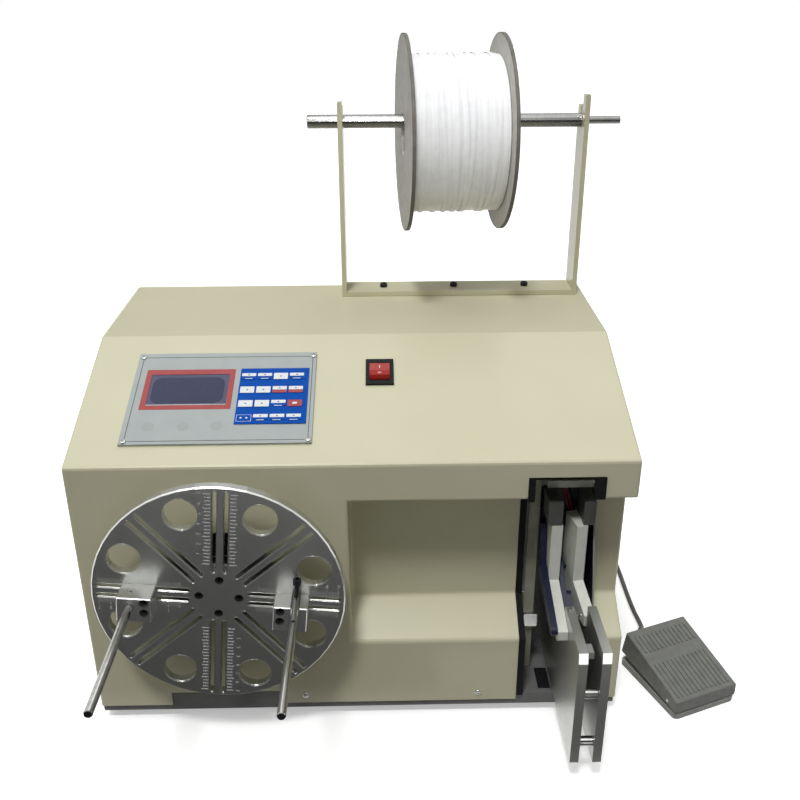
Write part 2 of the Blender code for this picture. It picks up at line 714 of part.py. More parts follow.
def make_cover():
    half = SIDE
    spare = COVER_BEND + OVER
    shell = prism("cover", side_outline(0, spare), "X", -half, half)
    cut(shell, prism("recess", recess_outline(0), "X", RECESS_LEFT, half + OVER))
    soften(shell, COVER_BEND, segments=2)
    hollow = prism("hollow", side_outline(COVER_WALL, 2 * spare), "X", -half + COVER_WALL, half - COVER_WALL)
    cut(hollow, prism("step", recess_outline(COVER_WALL), "X", RECESS_LEFT - COVER_WALL, half + OVER))
    under = box("under", (-half - OVER, -OVER, COVER_BOTTOM - 3 * spare),
                (half + OVER, COVER_DEPTH + 3 * spare, COVER_BOTTOM))
    behind = box("behind", (-half - OVER, COVER_DEPTH, COVER_BOTTOM - 2 * spare),
                 (half + OVER, COVER_DEPTH + 3 * spare, COVER_TOP + OVER))
    slot = box("slot", (SLOT_LEFT, -OVER, COVER_BOTTOM - 2 * spare),
               (SLOT_RIGHT, RECESS_DEPTH + COVER_WALL + OVER, SLOT_TOP))
    notch = box("notch", (AXIS_X - NOTCH_REACH[0], -OVER, COVER_BOTTOM - 2 * spare),
                (AXIS_X + NOTCH_REACH[1], COVER_WALL + OVER, COVER_BOTTOM + NOTCH_HEIGHT))
    spindle = rod("spindle_cut", "Y", (AXIS_X, AXIS_HEIGHT), SPINDLE_HOLE, -OVER, COVER_WALL + OVER, ROUND)
    margin = CONTROL_OPENING_MARGIN
    controls = box("controls", (PLATE_X[0] + margin, PLATE_U[0] + margin, -COVER_WALL - OVER),
                   (PLATE_X[1] - margin, PLATE_U[1] - margin, OVER))
    rocker = box("rocker_cut", (BEZEL_X[0] + SWITCH_RIM, BEZEL_U[0] + SWITCH_RIM, -COVER_WALL - OVER),
                 (BEZEL_X[1] - SWITCH_RIM, BEZEL_U[1] - SWITCH_RIM, OVER))
    for tool in (controls, rocker):
        tool.data.transform(Matrix.Translation((0, 0, FRONT_TOP)) @ Matrix.Rotation(SLOPE_ANGLE, 4, "X"))
    cut(shell, hollow, under, behind, slot, notch, spindle, controls, rocker)
    return shell


def make_body(machine):
    half = SIDE - COVER_WALL - GAP
    front = COVER_WALL + GAP
    plate = box("base_plate", (-half, front, FOOT_HEIGHT), (half, REAR, BASE_TOP))
    finish(plate, "dark_paint", machine, smooth=False)
    finish(make_cover(), "cream_paint", machine)

    outline = rounded((-half, BASE_TOP + GAP), (half, COVER_TOP - COVER_WALL - GAP), COVER_WALL, 2)
    panel = prism("rear_panel", outline, "Y", REAR - PANEL_WALL, REAR)
    vents = []
    for centre in (place - SIDE for place in VENT_CENTRES):
        for row in range(VENT_ROWS):
            height = VENT_LOW + row * VENT_PITCH
            reach = (VENT_LENGTH - VENT_WIDTH) / 2
            vents.append(loop_of_two((centre - reach, height), VENT_WIDTH / 2,
                                     (centre + reach, height), VENT_WIDTH / 2, 2))
    half_body = (INLET_BODY[0] / 2 + GAP, INLET_BODY[1] / 2 + GAP)
    inlet = [(INLET_X - half_body[0], INLET_Z - half_body[1]),
             (INLET_X + half_body[0], INLET_Z - half_body[1]),
             (INLET_X + half_body[0], INLET_Z + half_body[1]),
             (INLET_X - half_body[0], INLET_Z + half_body[1])]
    holes = vents + [inlet, circle((GLAND_X, GLAND_Z), GLAND_DOME + GAP, SMALL)]
    cut(panel, prism("panel_holes", holes, "Y", REAR - PANEL_WALL - OVER, REAR + OVER))
    finish(panel, "cream_paint", machine)

    path = [(0, BASE_TOP + GAP)] + recess_path() + [(0, SLOT_TOP - GAP)]
    strip = offset_path(path, TRIM_LIP) + offset_path(path, -(COVER_WALL + TRIM_LIP))[::-1]
    trim = prism("slot_trim", strip, "X", SLOT_LEFT + GAP, SLOT_LEFT + TRIM_WIDTH)
    finish(trim, "black_rubber", machine, smooth=False)

    for name, x, y in (("front_left", -half + FOOT_INSET, front + FOOT_INSET),
                       ("front_right", half - FOOT_INSET, front + FOOT_INSET),
                       ("rear_left", -half + FOOT_INSET, REAR - FOOT_INSET),
                       ("rear_right", half - FOOT_INSET, REAR - FOOT_INSET)):
        profile = [(0, 0), (FOOT_RADIUS - FOOT_TAPER, 0), (FOOT_RADIUS, FOOT_HEIGHT - GAP),
                   (0, FOOT_HEIGHT - GAP)]
        foot = turned("foot_" + name, profile, "Z", (x, y), SMALL)
        finish(foot, "black_rubber", machine)


def make_disc(disc):
    profile = [(0, DISC_FRONT), (DISC_RADIUS - DISC_CHAMFER, DISC_FRONT),
               (DISC_RADIUS, DISC_FRONT + DISC_CHAMFER), (DISC_RADIUS, DISC_BACK), (0, DISC_BACK)]
    plate = turned("winding_disc", profile, "Y", (0, 0), FINE)
    step = 2 * math.pi / HOLE_COUNT
    circle_radius = DISC_RADIUS - HOLE_INSET
    slot_outer = DISC_RADIUS - SLOT_INSET
    holes = []
    for k in range(HOLE_COUNT):
        middle = (circle_radius * math.cos((k + 0.5) * step), circle_radius * math.sin((k + 0.5) * step))
        holes.append(circle(middle, HOLE_RADIUS, SMALL))
        for side in (-1, 1):
            offset = side * SLOT_SPACING / 2
            slot = loop_of_two((SLOT_INNER, offset), SLOT_WIDTH / 2, (slot_outer, offset), SLOT_WIDTH / 2, 2)
            holes.append(turn_about(slot, k * step))
    for k in range(DISC_SCREWS):
        turn = 2 * math.pi * k / DISC_SCREWS
        middle = (DISC_SCREW_CIRCLE * math.cos(turn), DISC_SCREW_CIRCLE * math.sin(turn))
        holes.append(circle(middle, DISC_SCREW_RADIUS, TINY))
    cut(plate, prism("disc_holes", holes, "Y", DISC_FRONT - OVER, DISC_BACK + OVER))
    finish(plate, "aluminium", disc)

    flange_front = DISC_BACK + GAP
    flange_back = flange_front + HUB_THICKNESS
    spindle_end = PULLEY_BACK + PULLEY_CLEAR
    profile = [(0, flange_front), (HUB_RADIUS, flange_front), (HUB_RADIUS, flange_back),
               (SPINDLE_RADIUS, flange_back), (SPINDLE_RADIUS, spindle_end), (0, spindle_end)]
    finish(turned("spindle", profile, "Y", (0, 0), ROUND), "bright_steel", disc)
    finish(pulley("spindle_pulley", (0, 0), SPINDLE_PULLEY, SPINDLE_RADIUS + GAP, ROUND), "aluminium", disc)


def pulley(name, centre, radius, bore, sides):
    """Belt pulley with low rims."""
    low, high = PULLEY_FRONT, PULLEY_BACK
    rim = radius + PULLEY_RIM
    profile = [(bore, low), (rim, low), (rim, low + PULLEY_EDGE), (radius, low + PULLEY_EDGE),
               (radius, high - PULLEY_EDGE), (rim, high - PULLEY_EDGE), (rim, high), (bore, high)]
    return turned(name, profile, "Y", centre, sides)


def make_clamps(disc):
    back = DISC_FRONT - GAP
    front = back - BLOCK_DEPTH
    for side, sign, inner in (("left", -1, BLOCK_INNER[0]), ("right", 1, BLOCK_INNER[1])):
        ends = sorted((sign * inner, sign * (inner + BLOCK_LENGTH)))
        block = box(side + "_block", (ends[0], front, BLOCK_BOTTOM), (ends[1], back, BLOCK_TOP))
        soften(block, BLOCK_CHAMFER)
        x = sign * (inner + POST_PLACE)
        bolt_x = sign * (inner + BOLT_PLACE)
        bolts = [circle((bolt_x, up * SLOT_SPACING / 2), BOLT_RADIUS, TINY) for up in (-1, 1)]
        tools = [prism("bolt_holes", bolts, "Y", front - OVER, front + BOLT_DEPTH)]
        if side == "left":
            height = 0
            seat = front + POST_SEAT
            tools.append(rod("seat", "Y", (x, height), POST_RADIUS + GAP, front - OVER, seat + GAP))
        else:
            height = SPLIT_POST_RISE
            seat = back - SPLIT_POST_STOP
            reach = POST_RADIUS + GAP
            tools.append(box("split", (x - reach, front - OVER, SPLIT_FLOOR),
                             (x + reach, back + OVER, BLOCK_TOP + OVER)))
            tools.append(rod("tap", "Z", (x, CLAMP_SCREW_PLACE), CLAMP_SCREW_RADIUS + GAP,
                             SPLIT_FLOOR - CLAMP_SCREW_BITE - GAP, SPLIT_FLOOR + OVER, TINY))
        cut(block, *tools)
        finish(block, "aluminium", disc)
        post = chamfered_rod(side + "_post", "Y", (x, height), POST_RADIUS, POST_TIP, seat, POST_CHAMFER)
        if side == "right":
            under, above = height - 2 * POST_RADIUS, height + 2 * POST_RADIUS
            cut(post, rod("cross_hole", "Z", (x, CROSS_HOLE_PLACE), CROSS_HOLE, under, above, TINY),
                rod("screw_hole", "Z", (x, CLAMP_SCREW_PLACE), CLAMP_SCREW_RADIUS + GAP, under, above, TINY))
            make_clamp_screw(disc, x)
        finish(post, "bright_steel", disc)


def make_clamp_screw(disc, x):
    foot = SPLIT_FLOOR - CLAMP_SCREW_BITE
    neck = BLOCK_TOP + CLAMP_SCREW_RISE
    top = neck + CLAMP_HEAD_HEIGHT
    profile = [(0, foot), (CLAMP_SCREW_RADIUS, foot), (CLAMP_SCREW_RADIUS, neck), (CLAMP_HEAD_RADIUS, neck),
               (CLAMP_HEAD_RADIUS, top), (CLAMP_SOCKET_RADIUS, top),
               (CLAMP_SOCKET_RADIUS, top - CLAMP_SOCKET_DEPTH), (0, top - CLAMP_SOCKET_DEPTH)]
    screw = turned("right_clamp_screw", profile, "Z", (x, CLAMP_SCREW_PLACE), TINY)
    finish(screw, "black_steel", disc, pivot=(x, CLAMP_SCREW_PLACE, BLOCK_TOP))


def make_drive(machine):
    axis = (AXIS_X, AXIS_HEIGHT)
    half = HOUSING_WIDTH / 2
    low, high = BASE_TOP + GAP, AXIS_HEIGHT + HOUSING_TOP
    outline = [(AXIS_X - half, low), (AXIS_X + half, low), (AXIS_X + half, high - HOUSING_CHAMFER),
               (AXIS_X + half - HOUSING_CHAMFER, high), (AXIS_X - half + HOUSING_CHAMFER, high),
               (AXIS_X - half, high - HOUSING_CHAMFER)]
    housing = prism("spindle_housing", outline, "Y", HOUSING_FRONT, HOUSING_REAR)
    cut(housing, rod("bearing_bore", "Y", axis, BEARING_RADIUS + GAP, HOUSING_FRONT - OVER,
                     HOUSING_REAR + OVER, ROUND))
    finish(housing, "cast_grey", machine)
    inner, outer = SPINDLE_RADIUS + GAP, BEARING_RADIUS
    for name, start in (("bearing_front", HOUSING_FRONT), ("bearing_rear", HOUSING_REAR - BEARING_WIDTH)):
        finish(ring(name, "Y", axis, inner, outer, start, start + BEARING_WIDTH), "bright_steel", machine)

    motor_z = BASE_TOP + GAP + MOTOR_SIZE / 2
    reach = MOTOR_SIZE / 2
    outline = rounded((MOTOR_X - reach, motor_z - reach), (MOTOR_X + reach, motor_z + reach), MOTOR_CORNER, 3)
    motor = prism("winding_motor", outline, "Y", MOTOR_FRONT, MOTOR_FRONT + MOTOR_LENGTH)
    cut(motor, rod("shaft_bore", "Y", (MOTOR_X, motor_z), MOTOR_SHAFT + GAP, MOTOR_FRONT - OVER,
                   MOTOR_FRONT + MOTOR_BORE + GAP))
    finish(motor, "black_steel", machine)
    wheel = pulley("motor_pulley", (MOTOR_X, motor_z), MOTOR_PULLEY, MOTOR_SHAFT - SINK, SMALL)
    join(wheel, rod("shaft", "Y", (MOTOR_X, motor_z), MOTOR_SHAFT, PULLEY_FRONT + PULLEY_EDGE,
                    MOTOR_FRONT + MOTOR_BORE))
    finish(wheel, "aluminium", machine, pivot=(MOTOR_X, PULLEY_FRONT, motor_z))

    belt_low, belt_high = PULLEY_FRONT + BELT_MARGIN, PULLEY_BACK - BELT_MARGIN
    loops = []
    for grow in (GAP, GAP + BELT_THICKNESS):
        loops.append(loop_of_two(axis, SPINDLE_PULLEY + grow, (MOTOR_X, motor_z), MOTOR_PULLEY + grow,
                                 ROUND // 2))
    belt = prism("drive_belt", loops[1], "Y", belt_low, belt_high)
    cut(belt, prism("belt_inside", loops[0], "Y", belt_low - OVER, belt_high + OVER))
    finish(belt, "black_rubber", machine)


def make_bracket(machine):
    low = COVER_TOP + GAP
    rear = BRACKET_FRONT + BRACKET_WIDTH
    outline = [(BRACKET_LEFT, low), (BRACKET_RIGHT, low), (BRACKET_RIGHT, SHAFT_Z + FRONT_PRONG),
               (BRACKET_RIGHT - BRACKET_BAR, SHAFT_Z + FRONT_PRONG),
               (BRACKET_RIGHT - BRACKET_BAR, low + BRACKET_BAR),
               (BRACKET_LEFT + BRACKET_BAR, low + BRACKET_BAR),
               (BRACKET_LEFT + BRACKET_BAR, SHAFT_Z + FRONT_PRONG),
               (BRACKET_LEFT, SHAFT_Z + FRONT_PRONG)]
    bracket = prism("spool_bracket", outline, "Y", BRACKET_FRONT, rear)
    reach = NECK_RADIUS + GAP
    high = SHAFT_Z + FRONT_PRONG + OVER
    mouth = [(SPOOL_Y + reach, high), (SPOOL_Y - reach, high)]
    mouth += arc((SPOOL_Y, SHAFT_Z), reach, math.pi, 2 * math.pi, FEW)
    mouths = prism("mouths", mouth, "X", BRACKET_LEFT - OVER, BRACKET_RIGHT + OVER)
    low_prongs = box("low_prongs", (BRACKET_LEFT - OVER, SPOOL_Y, SHAFT_Z + REAR_PRONG),
                     (BRACKET_RIGHT + OVER, rear + OVER, high + OVER))
    screws = [circle((BRACKET_LEFT + x, SPOOL_Y), BRACKET_SCREW_HOLE, TINY) for x in BRACKET_SCREWS]
    holes = prism("screw_holes", screws, "Z", low - OVER, low + BRACKET_BAR + OVER)
    left_prong = box("left_prong", (BRACKET_LEFT - OVER, BRACKET_FRONT - OVER, SHAFT_Z + LEFT_FRONT_PRONG),
                     (BRACKET_LEFT + BRACKET_BAR + OVER, rear + OVER, high + OVER))
    cut(bracket, mouths, low_prongs, left_prong, holes)
    finish(bracket, "cream_paint", machine)


def make_shaft(machine):
    rim, neck = SHAFT_RADIUS, NECK_RADIUS
    left, right = BRACKET_LEFT - SHAFT_REACH[0], BRACKET_RIGHT + SHAFT_REACH[1]
    profile = [(0, left), (rim - SHAFT_CHAMFER, left), (rim, left + SHAFT_CHAMFER)]
    low, high = BRACKET_LEFT - NECK_MARGIN, BRACKET_LEFT + BRACKET_BAR + NECK_MARGIN
    profile += [(rim, low), (neck, low), (neck, high), (rim, high)]
    low, high = BRACKET_RIGHT - BRACKET_BAR - NECK_MARGIN, BRACKET_RIGHT + NECK_MARGIN
    profile += [(rim, low), (neck, low), (neck, high)]
    profile += [(TAIL_RADIUS, high), (TAIL_RADIUS, right), (0, right)]
    shaft = turned("spool_shaft", profile, "X", (SPOOL_Y, SHAFT_Z), SMALL)
    finish(shaft, "bright_steel", machine, pivot=(SPOOL_X, SPOOL_Y, SHAFT_Z))


def make_spool(spool):
    axis = (0, 0)
    left, right = -SPOOL_WIDTH / 2, SPOOL_WIDTH / 2
    inside_left = left + FLANGE_THICKNESS
    inside_right = right - FLANGE_THICKNESS
    lip = FLANGE_LIP
    edge = FLANGE_RADIUS
    profile = [(SPOOL_BORE, left), (edge - lip, left), (edge, left + lip), (edge, inside_left),
               (BARREL_RADIUS, inside_left), (BARREL_RADIUS, inside_right - GAP),
               (SPOOL_BORE, inside_right - GAP)]
    finish(turned("spool_flange_left", profile, "X", axis, FINE), "fibre_board", spool)
    profile = [(SPOOL_BORE, inside_right), (edge, inside_right), (edge, right - lip), (edge - lip, right),
               (SPOOL_BORE, right)]
    finish(turned("spool_flange_right", profile, "X", axis, FINE), "fibre_board", spool)

    strand = TAPE_STRAND / 2
    winding = TAPE_RADIUS - strand
    core = winding * math.cos(math.pi / LOOP_POINTS) - strand - GAP
    layers = ring("wound_tape", "X", axis, BARREL_RADIUS + GAP, core, inside_left + GAP,
                  inside_right - 2 * GAP)
    finish(layers, "white_tape", spool)
    start, end = inside_left + strand + GAP, inside_right - strand - GAP
    points = []
    for k in range(TAPE_LOOPS * LOOP_POINTS + 1):
        turn = 2 * math.pi * k / LOOP_POINTS
        run = start + (end - start) * k / (TAPE_LOOPS * LOOP_POINTS)
        points.append((run, winding * math.cos(turn), winding * math.sin(turn)))
    first, last = points[0], points[-1]
    points = ([(first[0], first[1], first[2] - TAPE_STRAND)] + points
              + [(last[0], last[1], last[2] + TAPE_STRAND)])
    print("tie_winding least gap to itself, mm:", round(least_gap(points, TAPE_STRAND) * MM, 3))
    finish(tube("tie_winding", points, strand, 1), "white_tape", spool)


def least_gap(points, diameter):
    """Least air between two stretches of a tube that lie at least half a loop apart along it."""
    places = np.array(points)
    apart = LOOP_POINTS // 2
    least = math.inf
    for i in range(len(places) - apart):
        others = places[i + apart:]
        starts, ends = others[:-1], others[1:]
        if len(starts) == 0:
            continue
        runs = ends - starts
        share = np.einsum("ij,ij->i", places[i] - starts, runs) / np.einsum("ij,ij->i", runs, runs)
        nearest = starts + runs * np.clip(share, 0, 1)[:, None]
        least = min(least, float(np.min(np.linalg.norm(nearest - places[i], axis=1))))
    return least - diameter


def tube(name, points, radius, resolution):
    """Round tube along a line of points, with closed ends."""
    curve = bpy.data.curves.new(name, "CURVE")
    curve.dimensions = "3D"
    curve.bevel_depth = radius
    curve.bevel_resolution = resolution
    curve.use_fill_caps = True
    line = curve.splines.new("POLY")
    line.points.add(len(points) - 1)
    for point, place in zip(line.points, points):
        point.co = (*place, 1)
    piece = bpy.data.objects.new(name, curve)
    bpy.context.scene.collection.objects.link(piece)
    return piece


def make_plates(machine):
    low = BASE_TOP + GAP
    top = PLATE_LOW + PLATE_STEP_RISE
    outline = [(PLATE_FRONT, low), (HEAD_WALL_FRONT - GAP, low), (HEAD_WALL_FRONT - GAP, PLATE_LOW),
               (PLATE_STEP, PLATE_LOW), (PLATE_STEP, top), (PLATE_FRONT + PLATE_NOSE_RUN, top),
               (PLATE_FRONT, top - PLATE_NOSE_RISE)]
    for side, left in (("left", PLATE_LEFT), ("right", PLATE_RIGHT)):
        plate = prism("guard_plate_" + side, outline, "X", left, left + PLATE_THICKNESS)
        finish(plate, "aluminium", machine, smooth=False)
    start = PLATE_LEFT + PLATE_THICKNESS + GAP
    for name, height in zip(("plate_spacer_lower", "plate_spacer_upper"), SPACER_HEIGHTS):
        spacer = rod(name, "X", (PLATE_FRONT + SPACER_INSET, height), SPACER_RADIUS, start,
                     PLATE_RIGHT - GAP)
        finish(spacer, "bright_steel", machine)


def above_plates(y, rise):
    """A point of the guides' or the arm's side view, by its height above the top of the plates."""
    return (y, PLATE_LOW + rise)


def make_guides(machine):
    pin_hole = above_plates(ARM_PIVOT_Y, ARM_PIVOT_Z)
    right_side = PLATE_LEFT - GAP
    back = [above_plates(GUIDE_REAR, GUIDE_TOP), above_plates(GUIDE_HEEL, GUIDE_TOP),
            above_plates(GUIDE_HEEL, GUIDE_HEEL_TOP)]
    outline = [above_plates(GUIDE_NOSE, GUIDE_NOSE_LOW), above_plates(GUIDE_REAR, GUIDE_NOSE_LOW)] + back
    outline.append(above_plates(GUIDE_NOSE, GUIDE_NOSE_TOP))
    left = prism("guide_left", outline, "X", right_side - GUIDE_THICKNESS, right_side)
    cut(left, rod("pin_hole", "X", pin_hole, ARM_PIN + GAP, right_side - 2 * GUIDE_THICKNESS,
                  right_side + OVER, TINY))
    finish(left, "white_nylon", machine)

    outline = [above_plates(RIGHT_GUIDE_NOSE, GAP), above_plates(GUIDE_REAR, GAP)] + back
    outline.append(above_plates(RIGHT_GUIDE_NOSE, GUIDE_NOSE_TOP))
    side = PLATE_RIGHT + PLATE_THICKNESS
    right = prism("guide_right", outline, "X", side - GUIDE_THICKNESS, side)
    hinge = Vector((side, RIGHT_GUIDE_NOSE, 0))
    right.data.transform(Matrix.Translation(hinge) @ Matrix.Rotation(RIGHT_GUIDE_FLARE, 4, "Z")
                         @ Matrix.Translation(-hinge))
    cut(right, rod("pin_hole", "X", pin_hole, ARM_PIN + GAP, PLATE_LEFT, HEAD_RIGHT, TINY))
    finish(right, "white_nylon", machine)


def make_arm(machine):
    pivot = above_plates(ARM_PIVOT_Y, ARM_PIVOT_Z)
    tip = above_plates(PLATE_STEP + ARM_TIP_CLEAR, ARM_TIP_Z)
    left = PLATE_LEFT + 2 * GAP
    arm = prism("tie_arm", loop_of_two(pivot, ARM_HUB, tip, ARM_TIP), "X", left, left + ARM_THICKNESS)
    lever_right = PLATE_LEFT - 2 * GAP - GUIDE_THICKNESS
    lever_left = lever_right - LEVER_THICKNESS
    outline = loop_of_two(above_plates(ARM_NOSE_Y, ARM_NOSE_Z), ARM_NOSE, tip, ARM_TIP - SINK)
    nose = prism("nose", outline, "X", left + SINK, left + ARM_NOSE_THICKNESS)
    join(arm, nose, rod("pin", "X", pivot, ARM_PIN, lever_left + SINK, left + 2 * ARM_NOSE_THICKNESS - OVER,
                        TINY))
    origin = (left, *pivot)
    finish(arm, "blue_paint", machine, pivot=origin)
    outline = loop_of_two(pivot, ARM_HUB, above_plates(LEVER_TIP_Y, LEVER_TIP_Z), LEVER_TIP)
    lever = prism("arm_lever", outline, "X", lever_left, lever_right)
    end = above_plates(HEAD_FRONT - LEVER_TAIL_SETBACK, LEVER_TAIL_Z)
    tail = prism("tail", loop_of_two(pivot, ARM_HUB - SINK, end, LEVER_TAIL), "X", lever_left + SINK,
                 lever_right - SINK)
    join(lever, tail)
    cut(lever, rod("pin_hole", "X", pivot, ARM_PIN + GAP, lever_left - OVER, lever_right + OVER, TINY))
    finish(lever, "blue_paint", machine, pivot=origin)


def make_head_frame(machine):
    low = BASE_TOP + GAP
    rear = HEAD_REAR
    inner_left = HEAD_LEFT + HEAD_CHEEK
    inner_right = HEAD_RIGHT - HEAD_RIGHT_CHEEK
    frame = box("head_frame", (HEAD_LEFT, HEAD_FRONT, low), (HEAD_RIGHT, rear, HEAD_TOP))
    bay = box("bay", (inner_left, HEAD_FRONT - OVER, low - OVER),
              (inner_right, HEAD_WALL_FRONT, HEAD_TOP - HEAD_BEAM))
    shafts = [circle((y, ROLLER_HEIGHT), ROLLER_SHAFT + GAP, TINY) for y in roller_places()]
    bores = prism("shaft_bores", shafts, "X", HEAD_LEFT - OVER, HEAD_RIGHT + OVER)
    hook = rod("hook_hole", "Y", (THROAT_X, HOOK_HEIGHT), HOOK_SHAFT + GAP, HEAD_FRONT, rear + OVER, TINY)
    half = BLADE_WIDTH / 2 + GAP
    blade = box("blade_slot", (nozzle_middle() - half, HEAD_FRONT, BLADE_HEIGHT - GAP),
                (nozzle_middle() + half, rear + OVER, BLADE_HEIGHT + BLADE_THICKNESS + GAP))
    slit = TAPE_SLIT_WIDTH / 2
    tape = box("tape_hole", (nozzle_middle() - slit, TAPE_PLANE - TAPE_SLIT / 2, HEAD_TOP - HEAD_BEAM - OVER),
               (nozzle_middle() + slit, TAPE_PLANE + TAPE_SLIT / 2, HEAD_TOP + OVER))
    cut(frame, bay, bores, hook, blade, tape)
    finish(frame, "cast_grey", machine, smooth=False)


def roller_places():
    """Depths of the two feed rollers, either side of the tape."""
    reach = ROLLER_RADIUS + ROLLER_NIP / 2
    return (TAPE_PLANE - reach, TAPE_PLANE + reach)


def nozzle_middle():
    return PLATE_LEFT + PLATE_THICKNESS - SINK


def make_feed(machine):
    middle = nozzle_middle()
    half = NOZZLE_WIDTH / 2
    nozzle = box("feed_nozzle", (middle - half, HEAD_FRONT, NOZZLE_LOW),
                 (middle + half, HEAD_WALL_FRONT - GAP, NOZZLE_TOP))
    grooves = []
    for k in range(NOZZLE_RIBS):
        height = NOZZLE_LOW + (k + 1) * NOZZLE_RIB_PITCH
        grooves.append([(HEAD_FRONT - OVER, height), (HEAD_FRONT + NOZZLE_RIB_DEPTH, height),
                        (HEAD_FRONT + NOZZLE_RIB_DEPTH, height + NOZZLE_RIB_WIDTH),
                        (HEAD_FRONT - OVER, height + NOZZLE_RIB_WIDTH)])
    slit = box("slit", (middle - TAPE_SLIT_WIDTH / 2, TAPE_PLANE - TAPE_SLIT / 2, NOZZLE_LOW - OVER),
               (middle + TAPE_SLIT_WIDTH / 2, TAPE_PLANE + TAPE_SLIT / 2, NOZZLE_TOP + OVER))
    cut(nozzle, prism("grooves", grooves, "X", middle - NOZZLE_WIDTH, middle + NOZZLE_WIDTH), slit)
    finish(nozzle, "black_steel", machine, smooth=False)

    start, end = HEAD_LEFT + SINK, HEAD_RIGHT - SINK
    low, high = middle - ROLLER_LENGTH / 2, middle + ROLLER_LENGTH / 2
    for name, y in zip(("feed_roller_drive", "feed_roller_idler"), roller_places()):
        profile = [(0, start), (ROLLER_SHAFT, start), (ROLLER_SHAFT, low), (ROLLER_RADIUS, low),
                   (ROLLER_RADIUS, high), (ROLLER_SHAFT, high), (ROLLER_SHAFT, end), (0, end)]
        roller = turned(name, profile, "X", (y, ROLLER_HEIGHT), SMALL)
        finish(roller, "bright_steel", machine, pivot=(middle, y, ROLLER_HEIGHT))

    half = BLADE_WIDTH / 2
    top = BLADE_HEIGHT + BLADE_THICKNESS
    front, tail = HEAD_FRONT + BLADE_SETBACK, HEAD_REAR + BLADE_TAIL
    outline = [(front, BLADE_HEIGHT), (tail, BLADE_HEIGHT), (tail, top), (front + BLADE_BEVEL, top)]
    blade = prism("cutter_blade", outline, "X", middle - half, middle + half)
    finish(blade, "bright_steel", machine, pivot=(middle, front, BLADE_HEIGHT), smooth=False)


def make_twister(machine):
    axis = (THROAT_X, HOOK_HEIGHT)
    front = HEAD_REAR + GAP
    profile = [(0, front), (GEARBOX_RADIUS, front), (GEARBOX_RADIUS, front + GEARBOX_LENGTH),
               (TWIST_MOTOR_RADIUS, front + GEARBOX_LENGTH), (TWIST_MOTOR_RADIUS, front + TWIST_MOTOR_LENGTH),
               (0, front + TWIST_MOTOR_LENGTH)]
    motor = turned("twist_motor", profile, "Y", axis, SMALL)
    cut(motor, rod("hook_bore", "Y", axis, HOOK_SHAFT + GAP, front - OVER, front + TWIST_MOTOR_BORE + GAP,
                   TINY))
    finish(motor, "zinc_steel", machine)

    hook = rod("twist_hook", "Y", axis, HOOK_SHAFT, HOOK_BAR_FRONT + SINK, front + TWIST_MOTOR_BORE, TINY)
    half = PLATE_SPACE / 2 - HOOK_CLEAR
    bar = box("bar", (THROAT_X - half, HOOK_BAR_FRONT, HOOK_HEIGHT - HOOK_BAR / 2),
              (THROAT_X + half, HOOK_BAR_FRONT + HOOK_BAR, HOOK_HEIGHT + HOOK_BAR / 2))
    prongs = []
    for sign in (-1, 1):
        outer = THROAT_X + sign * (half - SINK)
        inner = THROAT_X + sign * (half - HOOK_PRONG)
        ends = sorted((outer, inner))
        prongs.append(box("prong",
                          (ends[0], HOOK_BAR_FRONT - HOOK_PRONG_LENGTH, HOOK_HEIGHT - HOOK_PRONG / 2),
                          (ends[1], HOOK_BAR_FRONT + SINK, HOOK_HEIGHT + HOOK_PRONG / 2)))
    join(hook, bar, *prongs)
    finish(hook, "bright_steel", machine, pivot=(THROAT_X, HOOK_BAR_FRONT, HOOK_HEIGHT))


def key_places():
    """Lower left corners of the keys, in rows from the top; the first place of the last row is bare."""
    places = []
    for row in range(KEY_ROWS):
        for column in range(KEY_COLUMNS):
            if (row, column) == (KEY_ROWS - 1, 0):
                continue
            x = KEY_FIRST[0] + column * KEY_STEP[0] - KEY_WIDTH / 2
            u = KEY_FIRST[1] - row * KEY_STEP[1] - KEY_HEIGHT / 2
            places.append((x, u))
    return places


